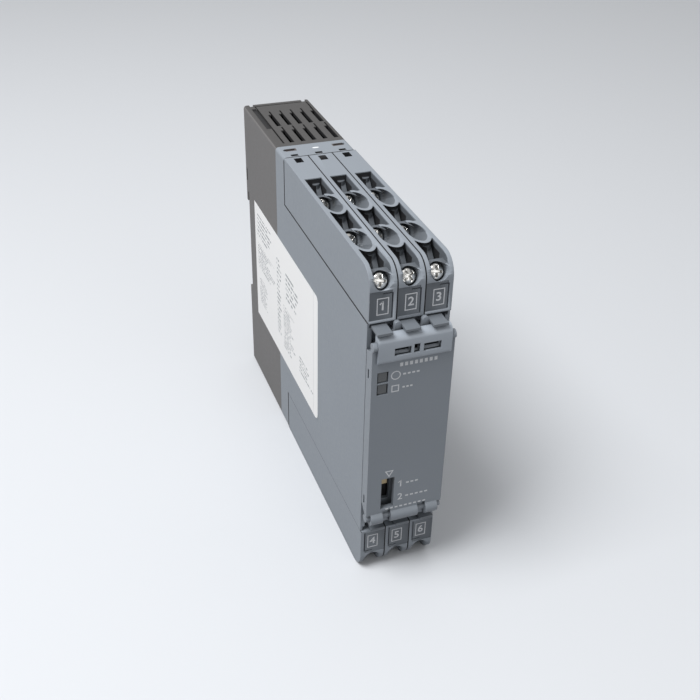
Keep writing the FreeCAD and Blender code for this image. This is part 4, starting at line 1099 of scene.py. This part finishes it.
def outline(name, x, z, radius, line, corners):
    """A ring of a few or many corners, as a flat printed line."""
    ring = bmesh.new()
    bmesh.ops.create_circle(ring, cap_ends=True, segments=corners, radius=radius * MM)
    rotate(ring, ring.verts, 180 / corners, "Z")
    leave_rim(ring, line * MM)
    bmesh.ops.translate(ring, vec=(x * MM, z * MM, 0), verts=ring.verts)
    return flat_piece(name, ring)


def number_mark(name, digit, x, z, size):
    """A number printed on the cover."""
    mark = bmesh.new()
    add_digit(mark, digit, size * MM, 0.03 * MM)
    bmesh.ops.translate(mark, vec=(x * MM, z * MM, 0), verts=mark.verts)
    return flat_piece(name, mark)


# %% [markdown]
# The marks are set out in millimetres across from the middle of the device and up from its base.

# %% Marks on the cover
dashes("mark_row_top", -3.6, 7.2, 73.2, 74.3, 8)
outline("mark_lamp_1", -4.6, 70.7, 1.35, 0.28, 24)
dashes("mark_lamp_1_row", -2.6, 2.4, 70.45, 70.95, 4)
outline("mark_lamp_2", -4.6, 66.6, 1.5, 0.3, 4)
dashes("mark_lamp_2_row", -2.6, 0.6, 66.35, 66.85, 3)
outline("mark_selector", -5.0, 38.4, 1.5, 0.3, 3)
number_mark("mark_position_1", "1", -1.4, 33.6, 3.2)
number_mark("mark_position_2", "2", -1.4, 28.8, 3.2)
dashes("mark_position_row_1", 0.2, 4.2, 33.35, 33.85, 3)
dashes("mark_position_row_2", 0.2, 7.4, 28.55, 29.05, 5)
dashes("mark_row_bottom", -5.6, 7.0, 25.1, 25.6, 9)
print("Marks on the cover")


# %% [markdown]
# The screws' heads are turned with a low dome and struck with a cross. The model's screws have flat heads,
# so each one gets a finer twin. A half outline is spun round the axis, and a Boolean takes the cross out
# of the dome, because a cross doesn't follow the rings of a turned shape. One mesh is made and copied to
# the 18 screw axes.

# %% A domed screw
HEAD_OUTLINE = (
    (0.0, 0.0), (0.8, -0.05), (1.45, -0.22), (1.95, -0.55), (2.22, -0.95), (2.27, -1.3), (2.27, -1.78),
    (1.48, -1.78), (1.48, -6.35), (0.0, -6.35),
)
CROSS_LENGTH = 2.9 * MM
CROSS_WIDTH = 0.62 * MM
CROSS_DEPTH = 0.95 * MM


def turned_screw():
    """A screw with a domed head, its axis on Z and the middle of its head at the origin."""
    turned = bmesh.new()
    points = [turned.verts.new((radius * MM, 0.0, height * MM)) for radius, height in HEAD_OUTLINE]
    lines = [turned.edges.new(pair) for pair in zip(points, points[1:])]
    bmesh.ops.spin(
        turned, geom=points + lines, cent=(0, 0, 0), axis=(0, 0, 1), angle=math.tau, steps=32,
        use_merge=True,
    )
    bmesh.ops.remove_doubles(turned, verts=turned.verts, dist=0.005 * MM)
    bmesh.ops.recalc_face_normals(turned, faces=turned.faces)
    for face in turned.faces:
        face.smooth = True
    return turned


def cross_cutter():
    """Two crossed bars that take the recess out of a head."""
    bars = bmesh.new()
    for degrees in (0, 90):
        bar = bmesh.ops.create_cube(bars, size=1.0)["verts"]
        bmesh.ops.scale(bars, vec=(CROSS_LENGTH, CROSS_WIDTH, CROSS_DEPTH * 2), verts=bar)
        rotate(bars, bar, degrees, "Z")
    return bars


screw_pattern = carve(turned_screw(), cross_cutter())
print("One screw:", len(screw_pattern.polygons), "faces")


# %% [markdown]
# A screw stops wherever it was last tightened, so no two crosses stand alike. Each copy is turned by its
# own angle, laid along the axis of its joint, and takes the place of the model's screw.

# %% The eighteen screws
def place_screw(block, terminal):
    """A copy of the screw on the axis of its joint."""
    turned = Matrix.Rotation(math.radians(25 + 47 * block + 31 * terminal), 4, "Z")
    mesh = screw_pattern.copy()
    mesh.transform(screw_frame(block, terminal) @ turned)
    name = f"screw_{block}_{terminal}"
    screw = finish_piece(mesh, name, screw_metal, name)
    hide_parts(f"clamp_screw_{block}_{terminal}")


for block in range(1, 7):
    for terminal in range(1, 4):
        place_screw(block, terminal)
print("Eighteen domed screws")


# %% [markdown]
# The floor is a plain pale sheet. Seen directly or in a reflection it is pale, but it throws less light
# back on the device than a white floor would, so that the mouldings keep their own tone.

# %% Floor
FLOOR_HALF = 3.0


def floor_material():
    material, tree, shader, place = start_material("pale_floor")
    rays = tree.nodes.new("ShaderNodeLightPath").outputs
    seen = maths(tree, "MAXIMUM", rays["Is Camera Ray"], rays["Is Glossy Ray"])
    seen = maths(tree, "MAXIMUM", seen, rays["Is Transmission Ray"])
    base = mixed_colour(tree, seen, (0.15, 0.15, 0.155, 1.0), (0.62, 0.64, 0.67, 1.0))
    feed(tree, shader.inputs["Base Color"], base)
    shader.inputs["Roughness"].default_value = 0.85
    return material


sheet = bmesh.new()
bmesh.ops.create_grid(sheet, x_segments=1, y_segments=1, size=FLOOR_HALF)
floor = add_object("floor", as_mesh("floor", sheet))
floor.data.materials.append(floor_material())
print("Floor", round(FLOOR_HALF * 2), "m wide")


# %% [markdown]
# One large soft lamp high on the left lights the top and the long side, as in a product studio. The world
# gives an even fill from all round, and a weak lamp in front keeps the front from going flat. The Standard
# view shows a colour about as it is written.

# %% Light
scene = bpy.context.scene
scene.view_settings.view_transform = "Standard"
world = bpy.data.worlds.new("studio")
world.use_nodes = True
scene.world = world
background = world.node_tree.nodes["Background"]
background.inputs["Color"].default_value = (1.0, 1.0, 1.0, 1.0)
background.inputs["Strength"].default_value = 0.5


def soft_lamp(name, place, aim, size, level):
    """A square lamp. At a level of one it lights a plane at its aim as brightly as daylight lights paper."""
    distance = (Vector(place) - Vector(aim)).length
    lamp = bpy.data.lights.new(name, "AREA")
    lamp.shape = "SQUARE"
    lamp.size = size
    lamp.energy = level * math.pi ** 2 * distance ** 2
    thing = add_object(name, lamp)
    thing.location = place
    thing.rotation_euler = (Vector(aim) - Vector(place)).to_track_quat("-Z", "Y").to_euler()
    print(name, "of", round(lamp.energy, 2), "W")


middle = (0.0, 0.0, mid_height)
soft_lamp("key_lamp", (-0.42, -0.1, 0.85), middle, 0.45, 1.05)
soft_lamp("front_lamp", (0.25, -0.9, 0.35), middle, 0.5, 0.1)

# %% [markdown]
# The camera stands where the photograph was taken from: to the left, in front and above, turned by a
# degree or so about its own axis. Its place, aim and focal length were found by fitting the corners of the
# device.

# %% Camera
CAMERA_PLACE = Vector((-0.0879, -0.2479, 0.2151))
CAMERA_AZIMUTH = math.radians(20.607)
CAMERA_DOWN = math.radians(33.711)
CAMERA_ROLL = math.radians(1.316)
camera_data = bpy.data.cameras.new("camera")
camera_data.sensor_width = 36.0
camera_data.lens = 50.99
camera_data.clip_start = 0.01
camera = add_object("camera", camera_data)
heading = Vector((
    math.sin(CAMERA_AZIMUTH) * math.cos(CAMERA_DOWN),
    math.cos(CAMERA_AZIMUTH) * math.cos(CAMERA_DOWN),
    -math.sin(CAMERA_DOWN),
))
level = heading.to_track_quat("-Z", "Y").to_matrix().to_4x4()
camera.matrix_world = Matrix.Translation(CAMERA_PLACE) @ level @ Matrix.Rotation(CAMERA_ROLL, 4, "Z")
scene.camera = camera
print("Camera with a lens of", camera_data.lens, "mm")
